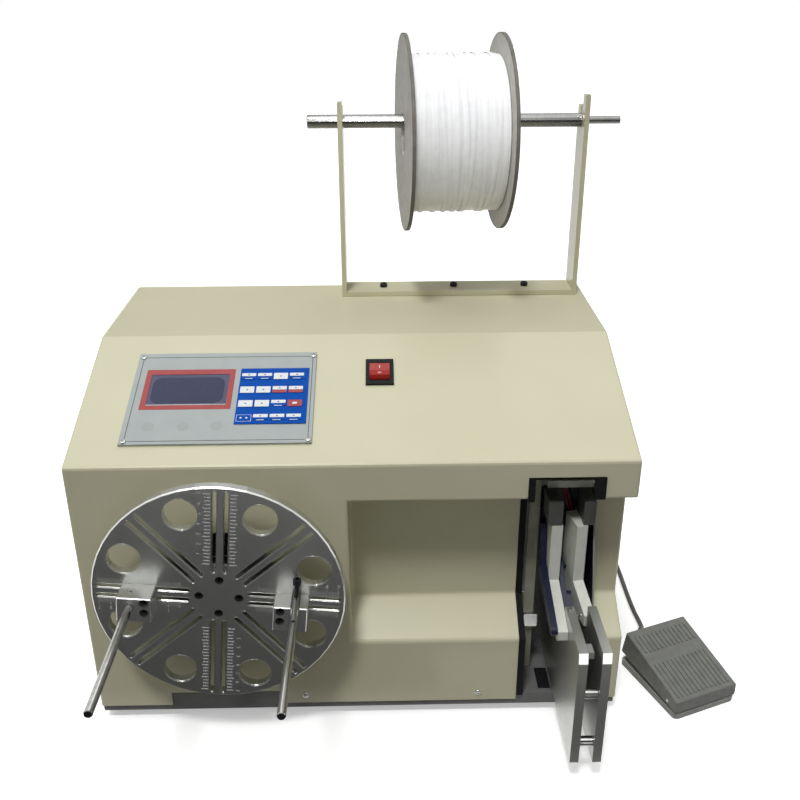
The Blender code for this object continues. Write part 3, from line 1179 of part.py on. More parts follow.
def make_controls(slope):
    bottom, top = GAP, GAP + CONTROL_PLATE
    plate = box("control_plate", (PLATE_X[0], PLATE_U[0], bottom), (PLATE_X[1], PLATE_U[1], top))
    cut(plate, box("window", (SCREEN_X[0], SCREEN_U[0], bottom - OVER),
                   (SCREEN_X[1], SCREEN_U[1], top + OVER)))
    finish(plate, "control_film", slope, smooth=False)

    glass = box("display", (SCREEN_X[0] + GAP, SCREEN_U[0] + GAP, -SINK),
                (SCREEN_X[1] - GAP, SCREEN_U[1] - GAP, top - GAP))
    module = box("module", (SCREEN_X[0] - SCREEN_MARGIN / 2, SCREEN_U[0] - SCREEN_MARGIN, -SCREEN_DEPTH),
                 (SCREEN_X[1] + SCREEN_MARGIN / 2, SCREEN_U[1] + SCREEN_MARGIN, 0))
    join(glass, module)
    finish(glass, "screen", slope, smooth=False)

    film_low = top + GAP
    film_top = film_low + KEYPAD_FILM
    pad = box("keypad", (KEYPAD_X[0], KEYPAD_U[0], film_low), (KEYPAD_X[1], KEYPAD_U[1], film_top))
    keys = []
    for x, u in key_places():
        keys.append([(x, u), (x + KEY_WIDTH, u), (x + KEY_WIDTH, u + KEY_HEIGHT), (x, u + KEY_HEIGHT)])
    join(pad, prism("keys", keys, "Z", film_top - KEYPAD_FILM / 2, film_top + KEY_RISE))
    finish(pad, "keypad_blue", slope, smooth=False)

    margin = CONTROL_OPENING_MARGIN + STANDOFF_INSET
    left, right = PLATE_X[0] + CONTROL_OPENING_MARGIN + GAP, PLATE_X[1] - CONTROL_OPENING_MARGIN - GAP
    low, high = PLATE_U[0] + CONTROL_OPENING_MARGIN + GAP, PLATE_U[1] - CONTROL_OPENING_MARGIN - GAP
    board = box("control_board", (left, low, -BOARD_DROP - BOARD_THICKNESS), (right, high, -BOARD_DROP))
    studs = [circle((x, u), STANDOFF_RADIUS, TINY) for x in (PLATE_X[0] + margin, PLATE_X[1] - margin)
             for u in (PLATE_U[0] + margin, PLATE_U[1] - margin)]
    join(board, prism("studs", studs, "Z", -BOARD_DROP - SINK, 0))
    finish(board, "board_green", slope, smooth=False)


def make_rocker(slope):
    middle = ((BEZEL_X[0] + BEZEL_X[1]) / 2, (BEZEL_U[0] + BEZEL_U[1]) / 2)
    half_x = (BEZEL_X[1] - BEZEL_X[0]) / 2 - SWITCH_WALL
    half_u = (BEZEL_U[1] - BEZEL_U[0]) / 2 - SWITCH_WALL - SWITCH_WALL / 2
    low = GAP
    housing = box("rocker_housing", (BEZEL_X[0], BEZEL_U[0], low), (BEZEL_X[1], BEZEL_U[1], low + BEZEL_RISE))
    inset = SWITCH_RIM + GAP
    body = box("switch_body", (BEZEL_X[0] + inset, BEZEL_U[0] + inset, -SWITCH_DEPTH),
               (BEZEL_X[1] - inset, BEZEL_U[1] - inset, low + SINK))
    join(housing, body)
    pocket = box("pocket", (middle[0] - half_x, middle[1] - half_u, ROCKER_PIVOT - ROCKER_DEPTH - GAP),
                 (middle[0] + half_x, middle[1] + half_u, low + BEZEL_RISE + OVER))
    cut(housing, pocket)
    finish(housing, "black_plastic", slope, smooth=False)

    reach = half_u - 2 * GAP
    lift = math.asin(ROCKER_CROWN / reach)
    drop = math.asin((ROCKER_DEPTH - SWITCH_WALL) / reach)
    right = arc((middle[1], ROCKER_PIVOT), reach, -drop, lift, 4)
    left = arc((middle[1], ROCKER_PIVOT), reach, math.pi - lift, math.pi + drop, 4)
    outline = right + [(middle[1], ROCKER_PIVOT + ROCKER_CROWN - ROCKER_DIP)] + left
    rocker = prism("rocker", outline, "X", middle[0] - half_x + GAP, middle[0] + half_x - GAP)
    pivot = Vector((middle[0], middle[1], ROCKER_PIVOT))
    tilt = Matrix.Rotation(-ROCKER_TILT, 4, "X")
    rocker.data.transform(Matrix.Translation(pivot) @ tilt @ Matrix.Translation(-pivot))
    finish(rocker, "red_plastic", slope, pivot=pivot)


def make_rear_fittings(machine):
    rear = REAR
    low = (INLET_X - INLET_FLANGE[0] / 2, INLET_Z - INLET_FLANGE[1] / 2)
    high = (INLET_X + INLET_FLANGE[0] / 2, INLET_Z + INLET_FLANGE[1] / 2)
    face = rear + GAP + INLET_FLANGE_THICKNESS
    flange = prism("power_inlet", rounded(low, high, INLET_WALL, 2), "Y", rear + GAP, face)
    half = (INLET_BODY[0] / 2, INLET_BODY[1] / 2)
    body = box("body", (INLET_X - half[0], rear - INLET_DEPTH, INLET_Z - half[1]),
               (INLET_X + half[0], rear + GAP + SINK, INLET_Z + half[1]))
    join(flange, body)
    floor = rear - INLET_DEPTH + INLET_WALL
    pocket = box("pocket", (INLET_X - half[0] + INLET_WALL, floor, INLET_Z - half[1] + INLET_WALL),
                 (INLET_X + half[0] - INLET_WALL, face + OVER, INLET_Z + half[1] - INLET_WALL))
    cut(flange, pocket)
    pins = []
    for step in (-1, 0, 1):
        x = INLET_X + step * INLET_PIN_SPACING
        z = INLET_Z - INLET_PIN[1] / 2 if step == 0 else INLET_Z - INLET_PIN[1]
        pins.append(box("pin", (x - INLET_PIN[0] / 2, floor - SINK, z),
                        (x + INLET_PIN[0] / 2, floor + INLET_PIN_LENGTH, z + INLET_PIN[1])))
    join(flange, *pins)
    finish(flange, "black_plastic", machine, smooth=False)

    start = rear - PANEL_WALL
    collar = rear + GAP
    profile = [(0, start), (GLAND_DOME, start), (GLAND_DOME, collar), (GLAND_RADIUS, collar),
               (GLAND_RADIUS, collar + GLAND_COLLAR), (GLAND_DOME, collar + GLAND_COLLAR),
               (GLAND_DOME, rear + GLAND_LENGTH - GLAND_COLLAR), (CABLE_RADIUS + GAP, rear + GLAND_LENGTH),
               (0, rear + GLAND_LENGTH)]
    gland = turned("cable_gland", profile, "Y", (GLAND_X, GLAND_Z), SMALL)
    finish(gland, "black_plastic", machine)

    width, depth, height = SUPPLY_SIZE
    x = MOTOR_X + MOTOR_SIZE / 2
    y = REAR - PANEL_WALL - SUPPLY_SETBACK - depth
    z = BASE_TOP + GAP
    supply = box("power_supply", (x, y, z), (x + width, y + depth, z + height))
    shelf = box("terminal_shelf", (x - OVER, y - OVER, z + SUPPLY_TERMINALS[1]),
                (x + SUPPLY_TERMINALS[0], y + depth + OVER, z + height + OVER))
    cut(supply, shelf)
    finish(supply, "zinc_steel", machine, smooth=False)


def treadle_outline(inset):
    """Side view of the treadle, drawn in by a wall, as (y, z)."""
    rear = PEDAL_LENGTH - inset
    low = PEDAL_PLATE + TREADLE_CLEAR - (OVER if inset else 0)
    rear_low = TREADLE_REAR_LOW - (OVER if inset else 0)
    slope = (TREADLE_REAR_TOP - TREADLE_FRONT_TOP) / (PEDAL_LENGTH - TREADLE_REAR_LEAN)
    drop = inset * math.hypot(1, slope)
    return [(inset, low), (rear, rear_low), (rear - TREADLE_REAR_LEAN, TREADLE_REAR_TOP - drop),
            (inset, TREADLE_FRONT_TOP + inset * slope - drop)]


def top_height(y):
    slope = (TREADLE_REAR_TOP - TREADLE_FRONT_TOP) / (PEDAL_LENGTH - TREADLE_REAR_LEAN)
    return TREADLE_FRONT_TOP + slope * y


def make_treadle(pedal):
    treadle = prism("treadle", treadle_outline(0), "X", 0, PEDAL_WIDTH)
    soften(treadle, TREADLE_EDGE, segments=2)
    step = (PEDAL_WIDTH - 2 * RIB_MARGIN) / (RIB_COUNT - 1)
    ribs = []
    fields = ((RIB_START, PEDAL_LENGTH - RIB_GAP[0]), (PEDAL_LENGTH - RIB_GAP[1], PEDAL_LENGTH - RIB_END))
    for field in fields:
        outline = [(field[0], top_height(field[0]) - SINK), (field[1], top_height(field[1]) - SINK),
                   (field[1], top_height(field[1]) + RIB_RISE), (field[0], top_height(field[0]) + RIB_RISE)]
        for k in range(RIB_COUNT):
            x = RIB_MARGIN + k * step
            ribs.append(prism("rib", outline, "X", x - RIB_WIDTH / 2, x + RIB_WIDTH / 2))
    merge_as_one(ribs)
    join(treadle, ribs[0])
    hollow = prism("hollow", treadle_outline(TREADLE_WALL), "X", TREADLE_WALL, PEDAL_WIDTH - TREADLE_WALL)
    pin = rod("pin_holes", "X", (PIN_PLACE, PIN_HEIGHT), PIN_RADIUS + GAP, -OVER, PEDAL_WIDTH + OVER, TINY)
    arch = box("arch", (SWITCH_X - TREADLE_NOTCH, PEDAL_LENGTH - 4 * TREADLE_WALL, -OVER),
               (SWITCH_X + TREADLE_NOTCH, PEDAL_LENGTH + OVER, TREADLE_NOTCH_TOP))
    cut(treadle, hollow, pin, arch)
    pad = box("pad", (SWITCH_X - SPRING_RADIUS, SPRING_Y - SPRING_RADIUS, SPRING_TOP),
              (SWITCH_X + SPRING_RADIUS, SPRING_Y + SPRING_RADIUS, top_height(SPRING_Y) - TREADLE_WALL / 2))
    half = SWITCH_STEM / 2
    reach = (SWITCH_Y + half - PIN_PLACE) * math.tan(TREADLE_TRAVEL)
    foot = PEDAL_PLATE + GAP + SWITCH_SIZE[2] + PLUNGER_RISE + reach + GAP
    stem = box("stem", (SWITCH_X - half, SWITCH_Y - half, foot),
               (SWITCH_X + half, SWITCH_Y + half, top_height(SWITCH_Y) - TREADLE_WALL / 2))
    join(treadle, pad, stem)
    finish(treadle, "pedal_grey", pedal, pivot=(PEDAL_WIDTH / 2, PIN_PLACE, PIN_HEIGHT))


def merge_as_one(pieces):
    """Puts several meshes in the first one's object."""
    bm = bmesh.new()
    for piece in pieces:
        bm.from_mesh(piece.data)
    bm.to_mesh(pieces[0].data)
    bm.free()
    for piece in pieces[1:]:
        bpy.data.objects.remove(piece)


def make_pedal(pedal):
    base = prism("pedal_base", rounded((0, 0), (PEDAL_WIDTH, PEDAL_LENGTH), PEDAL_CORNER, 3), "Z", 0,
                 PEDAL_PLATE)
    inset = PEDAL_RIM_INSET
    low = PEDAL_PLATE - SINK
    rim = box("rim", (inset, PEDAL_RIM_FRONT, low),
              (PEDAL_WIDTH - inset, PEDAL_LENGTH - inset, PEDAL_RIM_TOP))
    wall = inset + PEDAL_RIM_WALL
    cut(rim, box("inside", (wall, PEDAL_RIM_FRONT + PEDAL_RIM_WALL, 0),
                 (PEDAL_WIDTH - wall, PEDAL_LENGTH - wall, PEDAL_RIM_TOP + OVER)))
    ears = []
    for left in (EAR_INSET, PEDAL_WIDTH - EAR_INSET - EAR_WALL):
        ears.append(box("ear", (left, PIN_PLACE - EAR_LENGTH / 2, low),
                        (left + EAR_WALL, PIN_PLACE + EAR_LENGTH / 2, PIN_HEIGHT + EAR_OVER)))
    entry = rod("entry", "Y", (SWITCH_X, PEDAL_PLATE + ENTRY_RADIUS - SINK), ENTRY_RADIUS,
                PEDAL_LENGTH - wall - ENTRY_SINK, PEDAL_LENGTH + ENTRY_REACH, TINY)
    join(base, rim, *ears, entry)
    cut(base, rod("pin_holes", "X", (PIN_PLACE, PIN_HEIGHT), PIN_RADIUS + GAP, 0, PEDAL_WIDTH, TINY))
    finish(base, "pedal_dark", pedal)
    make_treadle(pedal)
    pin = chamfered_rod("treadle_pin", "X", (PIN_PLACE, PIN_HEIGHT), PIN_RADIUS, GAP, PEDAL_WIDTH - GAP,
                        GAP, TINY)
    finish(pin, "bright_steel", pedal)

    half_x, half_y = SWITCH_SIZE[0] / 2, SWITCH_SIZE[1] / 2
    floor = PEDAL_PLATE + GAP
    switch = box("pedal_switch", (SWITCH_X - half_x, SWITCH_Y - half_y, floor),
                 (SWITCH_X + half_x, SWITCH_Y + half_y, floor + SWITCH_SIZE[2]))
    top = floor + SWITCH_SIZE[2]
    join(switch, rod("plunger", "Z", (SWITCH_X, SWITCH_Y), PLUNGER_RADIUS, top - SINK, top + PLUNGER_RISE,
                     TINY))
    finish(switch, "black_plastic", pedal, smooth=False)

    count = SPRING_TURNS * SPRING_TURN_POINTS
    low, high = floor + SPRING_WIRE + GAP, SPRING_TOP - SPRING_WIRE - GAP
    coil = SPRING_RADIUS - SPRING_WIRE
    points = []
    for k in range(count + 1):
        turn = 2 * math.pi * k / SPRING_TURN_POINTS
        points.append((SWITCH_X + coil * math.cos(turn), SPRING_Y + coil * math.sin(turn),
                       low + (high - low) * k / count))
    finish(tube("pedal_spring", points, SPRING_WIRE, 1), "bright_steel", pedal)


def smooth_route(points, step):
    """Points at about one step along a smooth curve; the first and last stretches stay straight."""
    places = [Vector(p) for p in points]
    first_way = (places[1] - places[0]).normalized()
    last_way = (places[-1] - places[-2]).normalized()
    before = places[2] - 2 * first_way * (places[2] - places[1]).length
    after = places[-3] + 2 * last_way * (places[-2] - places[-3]).length
    ends = [before] + places[1:-1] + [after]
    fine = []
    for i in range(1, len(ends) - 2):
        a, b, c, d = ends[i - 1:i + 3]
        for k in range(ROUTE_STEPS):
            t = k / ROUTE_STEPS
            fine.append(0.5 * ((2 * b) + (c - a) * t + (2 * a - 5 * b + 4 * c - d) * t * t
                               + (3 * b - a - 3 * c + d) * t ** 3))
    fine.append(places[-2])
    lengths = [0]
    for one, two in zip(fine, fine[1:]):
        lengths.append(lengths[-1] + (two - one).length)
    count = max(2, round(lengths[-1] / step))
    chosen, index = [], 0
    for k in range(count + 1):
        wanted = lengths[-1] * k / count
        while index < len(lengths) - 2 and lengths[index + 1] < wanted:
            index += 1
        span = lengths[index + 1] - lengths[index]
        share = (wanted - lengths[index]) / span if span else 0
        chosen.append(tuple(fine[index].lerp(fine[index + 1], share)))
    line = [tuple(places[0])] + chosen + [tuple(places[-1])]
    return line, sum(math.dist(a, b) for a, b in zip(line, line[1:]))


def coil_points():
    """A flat coil of two layers: in on the bench, then out on top, with one climb between."""
    floor = CABLE_RADIUS
    rise = 2 * CABLE_RADIUS + SINK + GAP
    loops = COIL_TURNS * COIL_LAYERS
    total = loops * LOOP_POINTS
    half_turn = LOOP_POINTS // 2
    points = []
    for k in range(total + 1):
        turn = 2 * math.pi * k / LOOP_POINTS
        depth = min(k, total - k) / LOOP_POINTS
        radius = COIL_INNER + COIL_PITCH * (COIL_TURNS - depth)
        climb = min(max((k - total / 2 + half_turn / 2) / half_turn, 0), 1)
        points.append((COIL_X + radius * math.cos(turn), COIL_Y + radius * math.sin(turn),
                       floor + rise * climb))
    return points


def make_cable(machine):
    body = coil_points()
    start = Vector(body[0]) + Vector((0, -CABLE_STRAIGHT, 0))
    end = Vector(body[-1]) + Vector((0, CABLE_STRAIGHT, 0))
    coil = [tuple(start)] + body + [tuple(end)]
    print("cable_coil least gap to itself, mm:", round(least_gap(coil, 2 * CABLE_RADIUS) * MM, 3))
    finish(tube("cable_coil", coil, CABLE_RADIUS, 1), "cable_grey", machine)
    coil_length = sum(math.dist(a, b) for a, b in zip(coil, coil[1:]))

    exit_y = REAR + GLAND_LENGTH + GAP
    run = 2 * CABLE_STRAIGHT
    to_coil = ([(GLAND_X, exit_y, GLAND_Z), (GLAND_X, exit_y + run, GLAND_Z)] + GLAND_ROUTE
               + [(start.x, start.y - GAP - run, start.z), (start.x, start.y - GAP, start.z)])
    line, length_one = smooth_route(to_coil, CABLE_STEP)
    finish(tube("cable_from_gland", line, CABLE_RADIUS, 2), "cable_grey", machine)

    turn = PEDAL_TURN
    reach = PEDAL_LENGTH + ENTRY_REACH + GAP
    entry = Vector((PEDAL_X + SWITCH_X * math.cos(turn) - reach * math.sin(turn),
                    PEDAL_Y + SWITCH_X * math.sin(turn) + reach * math.cos(turn),
                    PEDAL_PLATE + ENTRY_RADIUS - SINK))
    out = Vector((-math.sin(turn), math.cos(turn), 0))
    to_pedal = ([(end.x, end.y + GAP, end.z), (end.x, end.y + GAP + run, end.z)] + PEDAL_ROUTE
                + [tuple(entry + out * run), tuple(entry)])
    line, length_two = smooth_route(to_pedal, CABLE_STEP)
    finish(tube("cable_to_pedal", line, CABLE_RADIUS, 2), "cable_grey", machine)
    print("pedal cable length, m:", round(length_one + coil_length + length_two, 4))


def stand_on_origin(machine, cord_names):
    """Moves the machine so that the origin lies under the middle of all but its free cable."""
    bpy.context.view_layer.update()
    corners = []
    for piece in bpy.data.objects:
        if piece.type == "EMPTY" or piece.name in cord_names:
            continue
        places = [v.co for v in piece.data.vertices] if piece.type == "MESH" else piece.bound_box
        corners += [piece.matrix_world @ Vector(place) for place in places]
    low = [min(c[i] for c in corners) for i in range(3)]
    high = [max(c[i] for c in corners) for i in range(3)]
    machine.location = (-(low[0] + high[0]) / 2, -(low[1] + high[1]) / 2, -low[2])


def main():
    clear_scene()
    machine = empty("machine", (0, 0, 0))
    disc = empty("disc_axis", (AXIS_X, 0, AXIS_HEIGHT), (0, DISC_TURN, 0), machine)
    slope = empty("slope_face", (0, 0, FRONT_TOP), (SLOPE_ANGLE, 0, 0), machine)
    spool = empty("spool_axis", (SPOOL_X, SPOOL_Y, SPOOL_Z), (0, 0, SPOOL_SKEW), machine)
    pedal = empty("pedal_place", (PEDAL_X, PEDAL_Y, 0), (0, 0, PEDAL_TURN), machine)
    make_body(machine)
    make_disc(disc)
    make_clamps(disc)
    make_drive(machine)
    make_bracket(machine)
    make_shaft(machine)
    make_spool(spool)
    make_plates(machine)
    make_guides(machine)
    make_arm(machine)
    make_head_frame(machine)
    make_feed(machine)
    make_twister(machine)
    make_controls(slope)
    make_rocker(slope)
    make_rear_fittings(machine)
    make_pedal(pedal)
    make_cable(machine)
    stand_on_origin(machine, ("cable_coil", "cable_from_gland", "cable_to_pedal"))


main()
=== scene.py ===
"""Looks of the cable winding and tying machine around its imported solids, in metres.

Sizes are given in the machine's own frame, as in the part's source: x to the right
across the front, y into the depth from the cover's front face, z up from the bench.
"""
import math
from contextlib import contextmanager
from functools import partial

import bmesh
import bpy
from mathutils import Matrix, Vector


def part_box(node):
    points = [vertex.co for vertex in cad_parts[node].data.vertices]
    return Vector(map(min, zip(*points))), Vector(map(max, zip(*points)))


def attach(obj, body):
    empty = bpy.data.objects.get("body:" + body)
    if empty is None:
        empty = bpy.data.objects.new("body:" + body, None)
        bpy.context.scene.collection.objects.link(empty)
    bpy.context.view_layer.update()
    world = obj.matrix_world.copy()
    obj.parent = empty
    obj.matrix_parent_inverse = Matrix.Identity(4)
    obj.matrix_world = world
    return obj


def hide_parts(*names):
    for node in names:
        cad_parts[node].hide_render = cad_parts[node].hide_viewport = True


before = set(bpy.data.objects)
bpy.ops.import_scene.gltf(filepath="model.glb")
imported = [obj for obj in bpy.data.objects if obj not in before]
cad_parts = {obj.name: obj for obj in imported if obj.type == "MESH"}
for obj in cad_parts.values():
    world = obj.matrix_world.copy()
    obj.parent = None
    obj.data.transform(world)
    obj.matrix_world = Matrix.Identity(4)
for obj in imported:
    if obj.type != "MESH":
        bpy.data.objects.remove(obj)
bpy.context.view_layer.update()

# Where the machine's own frames stand in the row's frame
BASE_FRONT = 0.0018
base_low, base_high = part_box("base_plate")
HOME = Vector(((base_low.x + base_high.x) / 2, base_low.y - BASE_FRONT, 0))
AXIS_X = -0.12
AXIS_HEIGHT = 0.1653
DISC_TURN = math.radians(5.4)
FRONT_TOP = 0.279
SLOPE_ANGLE = math.atan2(0.058, 0.163)
COVER_TOP = 0.337
SPOOL_PLACE = (0.1015, 0.297, 0.5081)
SPOOL_SKEW = math.radians(4)
PEDAL_PLACE = (0.306, -0.015, 0)
PEDAL_TURN = math.radians(21.4)
MACHINE = Matrix.Translation(HOME)
DISC = MACHINE @ Matrix.Translation((AXIS_X, 0, AXIS_HEIGHT)) @ Matrix.Rotation(DISC_TURN, 4, "Y")
SLOPE = MACHINE @ Matrix.Translation((0, 0, FRONT_TOP)) @ Matrix.Rotation(SLOPE_ANGLE, 4, "X")
SPOOL = MACHINE @ Matrix.Translation(SPOOL_PLACE) @ Matrix.Rotation(SPOOL_SKEW, 4, "Z")
PEDAL = MACHINE @ Matrix.Translation(PEDAL_PLACE) @ Matrix.Rotation(PEDAL_TURN, 4, "Z")

# Camera
CAMERA_PLACE = Vector((0.02509, -0.71586, 0.67017))
CAMERA_PITCH = math.radians(-24.769)
CAMERA_YAW = math.radians(-1.202)
CAMERA_ROLL = math.radians(0.183)
CAMERA_LENS = 42.655
CAMERA_SENSOR = 36
CAMERA_REACH = (0.01, 50)

# Pedal cable: the same route as its solids
CABLE_RADIUS = 0.0025
CABLE_STEP = 0.0132
CABLE_REST = CABLE_RADIUS       # height of its middle on the bench
CABLE_STRAIGHT = 2 * CABLE_RADIUS
GLAND_EXIT = (0.215, 0.3363, 0.045)
PEDAL_ENTRY_ALONG = (0.036, 0.1003)
PEDAL_ENTRY_HEIGHT = 0.01
GLAND_ROUTE = [(0.209, 0.364, 0.034), (0.2, 0.369, 0.013), (0.188, 0.37, CABLE_REST),
               (0.168, 0.364, CABLE_REST)]
PEDAL_ROUTE = [(*place, CABLE_REST) for place in (
    (0.16, 0.438), (0.186, 0.448), (0.222, 0.443), (0.258, 0.416), (0.286, 0.372), (0.302, 0.322),
    (0.3075, 0.275), (0.3085, 0.232), (0.3075, 0.19), (0.3075, 0.152))] + [(0.3085, 0.122, 0.0037)]
COIL_PLACE = (0.105, 0.392)
COIL_INNER = 0.033
COIL_PITCH = 0.0056
COIL_TURNS = 2
COIL_LAYERS = 2
COIL_RISE = 0.0058
LOOP_POINTS = 24
ROUTE_STEPS = 24
CABLE_FINENESS = 4

# Colour, a second colour for what varies, roughness from and to, size of its patches,
# size of a grain (along x, y and z where it is drawn out), depth of the grain, metal
FINISHES = {
    "cream": ((0.69, 0.668, 0.48), (0.655, 0.632, 0.448), (0.23, 0.26), 0.12, 0.0011, 0.00001, 0),
    "base": ((0.19, 0.19, 0.188), (0.15, 0.15, 0.148), (0.4, 0.55), 0.02, 0.0012, 0.00005, 0),
    "rubber": ((0.007, 0.007, 0.008), (0.013, 0.013, 0.014), (0.6, 0.8), 0.01, 0.0008, 0.00006, 0),
    "disc": ((0.66, 0.668, 0.64), (0.62, 0.628, 0.6), (0.29, 0.33), 0.03,
             (0.04, 0.0004, 0.0004), 0.0000006, 1),
    "plate": ((0.56, 0.565, 0.54), (0.53, 0.535, 0.51), (0.36, 0.42), 0.03,
              (0.0004, 0.03, 0.0004), 0.0000006, 1),
    "polished": ((0.84, 0.84, 0.825), (0.8, 0.8, 0.785), (0.08, 0.12), 0.004, 0.002, 0.0000004, 1),
    "block": ((0.64, 0.645, 0.63), (0.56, 0.565, 0.55), (0.28, 0.4), 0.008,
              (0.0003, 0.01, 0.0003), 0.00001, 1),
    "steel": ((0.48, 0.48, 0.465), (0.38, 0.38, 0.368), (0.14, 0.26), 0.006,
              (0.0003, 0.02, 0.0003), 0.000006, 1),
    "shaft": ((0.24, 0.24, 0.232), (0.19, 0.19, 0.184), (0.24, 0.32), 0.006,
              (0.02, 0.0003, 0.0003), 0.000002, 1),
    "edge": ((0.36, 0.365, 0.35), (0.31, 0.315, 0.3), (0.24, 0.34), 0.008, 0.003, 0.000004, 1),
    "black": ((0.008, 0.008, 0.009), (0.018, 0.018, 0.02), (0.34, 0.5), 0.004, 0.0006, 0.00001, 0),
    "cast": ((0.3, 0.305, 0.285), (0.25, 0.255, 0.238), (0.45, 0.6), 0.01, 0.001, 0.00005, 0),
    "khaki": ((0.36, 0.356, 0.285), (0.305, 0.301, 0.24), (0.4, 0.52), 0.012, 0.001, 0.00003, 0),
    # Dark grey of the guides' upper stems: the nylon with painted shade, where they stand deep in the slot
    "bar": ((0.085, 0.085, 0.08), (0.07, 0.07, 0.066), (0.4, 0.5), 0.01, (0.0004, 0.0004, 0.02), 0.00001, 0),
    "nylon": ((0.76, 0.78, 0.71), (0.69, 0.705, 0.63), (0.34, 0.46), 0.008,
              (0.0006, 0.0006, 0.004), 0.00001, 0),
    "blue": ((0.007, 0.011, 0.04), (0.004, 0.006, 0.024), (0.34, 0.44), 0.008, 0.0012, 0.00002, 0),
    "board": ((0.58, 0.57, 0.53), (0.5, 0.49, 0.45), (0.62, 0.78), 0.012, 0.0009, 0.00006, 0),
    "board_edge": ((0.15, 0.142, 0.118), (0.11, 0.104, 0.086), (0.62, 0.78), 0.012, 0.0009, 0.00006, 0),
    "tape": ((0.86, 0.865, 0.875), (0.8, 0.805, 0.82), (0.48, 0.62), 0.01, 0.0007, 0.00004, 0),
    "film": ((0.43, 0.472, 0.462), (0.405, 0.446, 0.44), (0.28, 0.38), 0.015, 0.0006, 0.00001, 0),
    "film_spot": ((0.385, 0.425, 0.416), (0.37, 0.408, 0.4), (0.28, 0.38), 0.015, 0.0006, 0.00001, 0),
    "glass": ((0.105, 0.112, 0.18), (0.092, 0.098, 0.16), (0.24, 0.32), 0.02, 0.01, 0.000002, 0),
    "view": ((0.052, 0.056, 0.108), (0.045, 0.049, 0.096), (0.26, 0.34), 0.02, 0.01, 0.000002, 0),
    "keypad": ((0.001, 0.086, 0.46), (0.001, 0.075, 0.405), (0.28, 0.38), 0.01, 0.0008, 0.00001, 0),
    "plastic": ((0.008, 0.008, 0.009), (0.013, 0.013, 0.014), (0.34, 0.46), 0.008, 0.0007, 0.00003, 0),
    "red": ((0.43, 0.022, 0.012), (0.36, 0.016, 0.009), (0.28, 0.38), 0.008, 0.003, 0.00001, 0),
    "green": ((0.015, 0.12, 0.045), (0.01, 0.095, 0.035), (0.38, 0.5), 0.01, 0.0012, 0.00002, 0),
    "zinc": ((0.42, 0.42, 0.41), (0.33, 0.33, 0.32), (0.34, 0.48), 0.009, 0.002, 0.00002, 0.9),
    "pedal": ((0.165, 0.171, 0.156), (0.135, 0.14, 0.127), (0.46, 0.6), 0.008, 0.001, 0.00007, 0),
    "pedal_base": ((0.36, 0.367, 0.342), (0.305, 0.311, 0.29), (0.5, 0.64), 0.008, 0.001, 0.00007, 0),
    "sheath": ((0.1, 0.088, 0.084), (0.078, 0.068, 0.064), (0.44, 0.56), 0.012, 0.0009, 0.00003, 0),
    "white": ((0.83, 0.85, 0.87), (0.76, 0.79, 0.82), (0.34, 0.44), 0.008, 0.001, 0.00001, 0),
    "print_red": ((0.37, 0.03, 0.028), (0.33, 0.026, 0.024), (0.34, 0.44), 0.008, 0.001, 0.00001, 0),
    "print_grey": ((0.12, 0.125, 0.12), (0.1, 0.105, 0.1), (0.36, 0.46), 0.008, 0.001, 0.00001, 0),
    "mark": ((0.68, 0.68, 0.664), (0.61, 0.61, 0.595), (0.4, 0.5), 0.008, 0.001, 0.00001, 0),
}

# How much the duller looks mirror; the others keep the plain half
PLAIN_MIRROR = 0.5
MIRRORED = {"cream": 0.3, "rubber": 0.12, "black": 0.22, "plastic": 0.12, "film": 0.25, "film_spot": 0.25,
            "glass": 0.12, "view": 0.12, "keypad": 0.06, "blue": 0.35, "khaki": 0.3, "cast": 0.3,
            "base": 0.3, "bar": 0.3}

# Which look each solid of the machine takes
DRESSED = {
    "cream": ["cover", "rear_panel", "spool_bracket"],
    "base": ["base_plate"],
    "rubber": ["slot_trim", "foot_front_left", "foot_front_right", "foot_rear_left", "foot_rear_right",
               "drive_belt"],
    "disc": ["winding_disc"],
    "plate": ["guard_plate_left", "guard_plate_right", "spindle_pulley", "motor_pulley"],
    "block": ["left_block", "right_block"],
    "shaft": ["spool_shaft"],
    "steel": ["left_post", "right_post", "spindle", "bearing_front", "bearing_rear",
              "plate_spacer_upper", "plate_spacer_lower", "feed_roller_drive", "feed_roller_idler",
              "cutter_blade", "twist_hook", "treadle_pin", "pedal_spring"],
    "black": ["right_clamp_screw", "winding_motor"],
    "cast": ["spindle_housing", "head_frame", "feed_nozzle"],
    "nylon": ["guide_left", "guide_right"],
    "blue": ["tie_arm", "arm_lever"],
    "board": ["spool_flange_left", "spool_flange_right"],
    "film": ["control_plate"],
    "glass": ["display"],
    "keypad": ["keypad"],
    "plastic": ["rocker_housing", "power_inlet", "cable_gland", "pedal_switch"],
    "red": ["rocker"],
    "green": ["control_board"],
    "zinc": ["power_supply", "twist_motor"],
    "pedal": ["treadle"],
    "pedal_base": ["pedal_base"],
}


# What materials, trees and pieces are made with

def feed(tree, node, inputs):
    """Sets each input of a node to a value, or joins it to another node's output."""
    for key, value in inputs.items():
        if isinstance(value, bpy.types.NodeSocket):
            tree.links.new(value, node.inputs[key])
        elif value is not None:
            node.inputs[key].default_value = value


def joined(tree, kind, inputs=None, **settings):
    """What a new node with these settings and inputs gives."""
    node = tree.nodes.new(kind)
    for key, value in settings.items():
        setattr(node, key, value)
    feed(tree, node, inputs or {})
    return node.outputs


def maths(tree, operation, one, two=None):
    """What an operation makes of one or two values."""
    return joined(tree, "ShaderNodeMath", {0: one, 1: two}, operation=operation)[0]


def spot(tree, x=0, y=0, z=0):
    """A place from its three parts."""
    return joined(tree, "ShaderNodeCombineXYZ", {"X": x, "Y": y, "Z": z})[0]


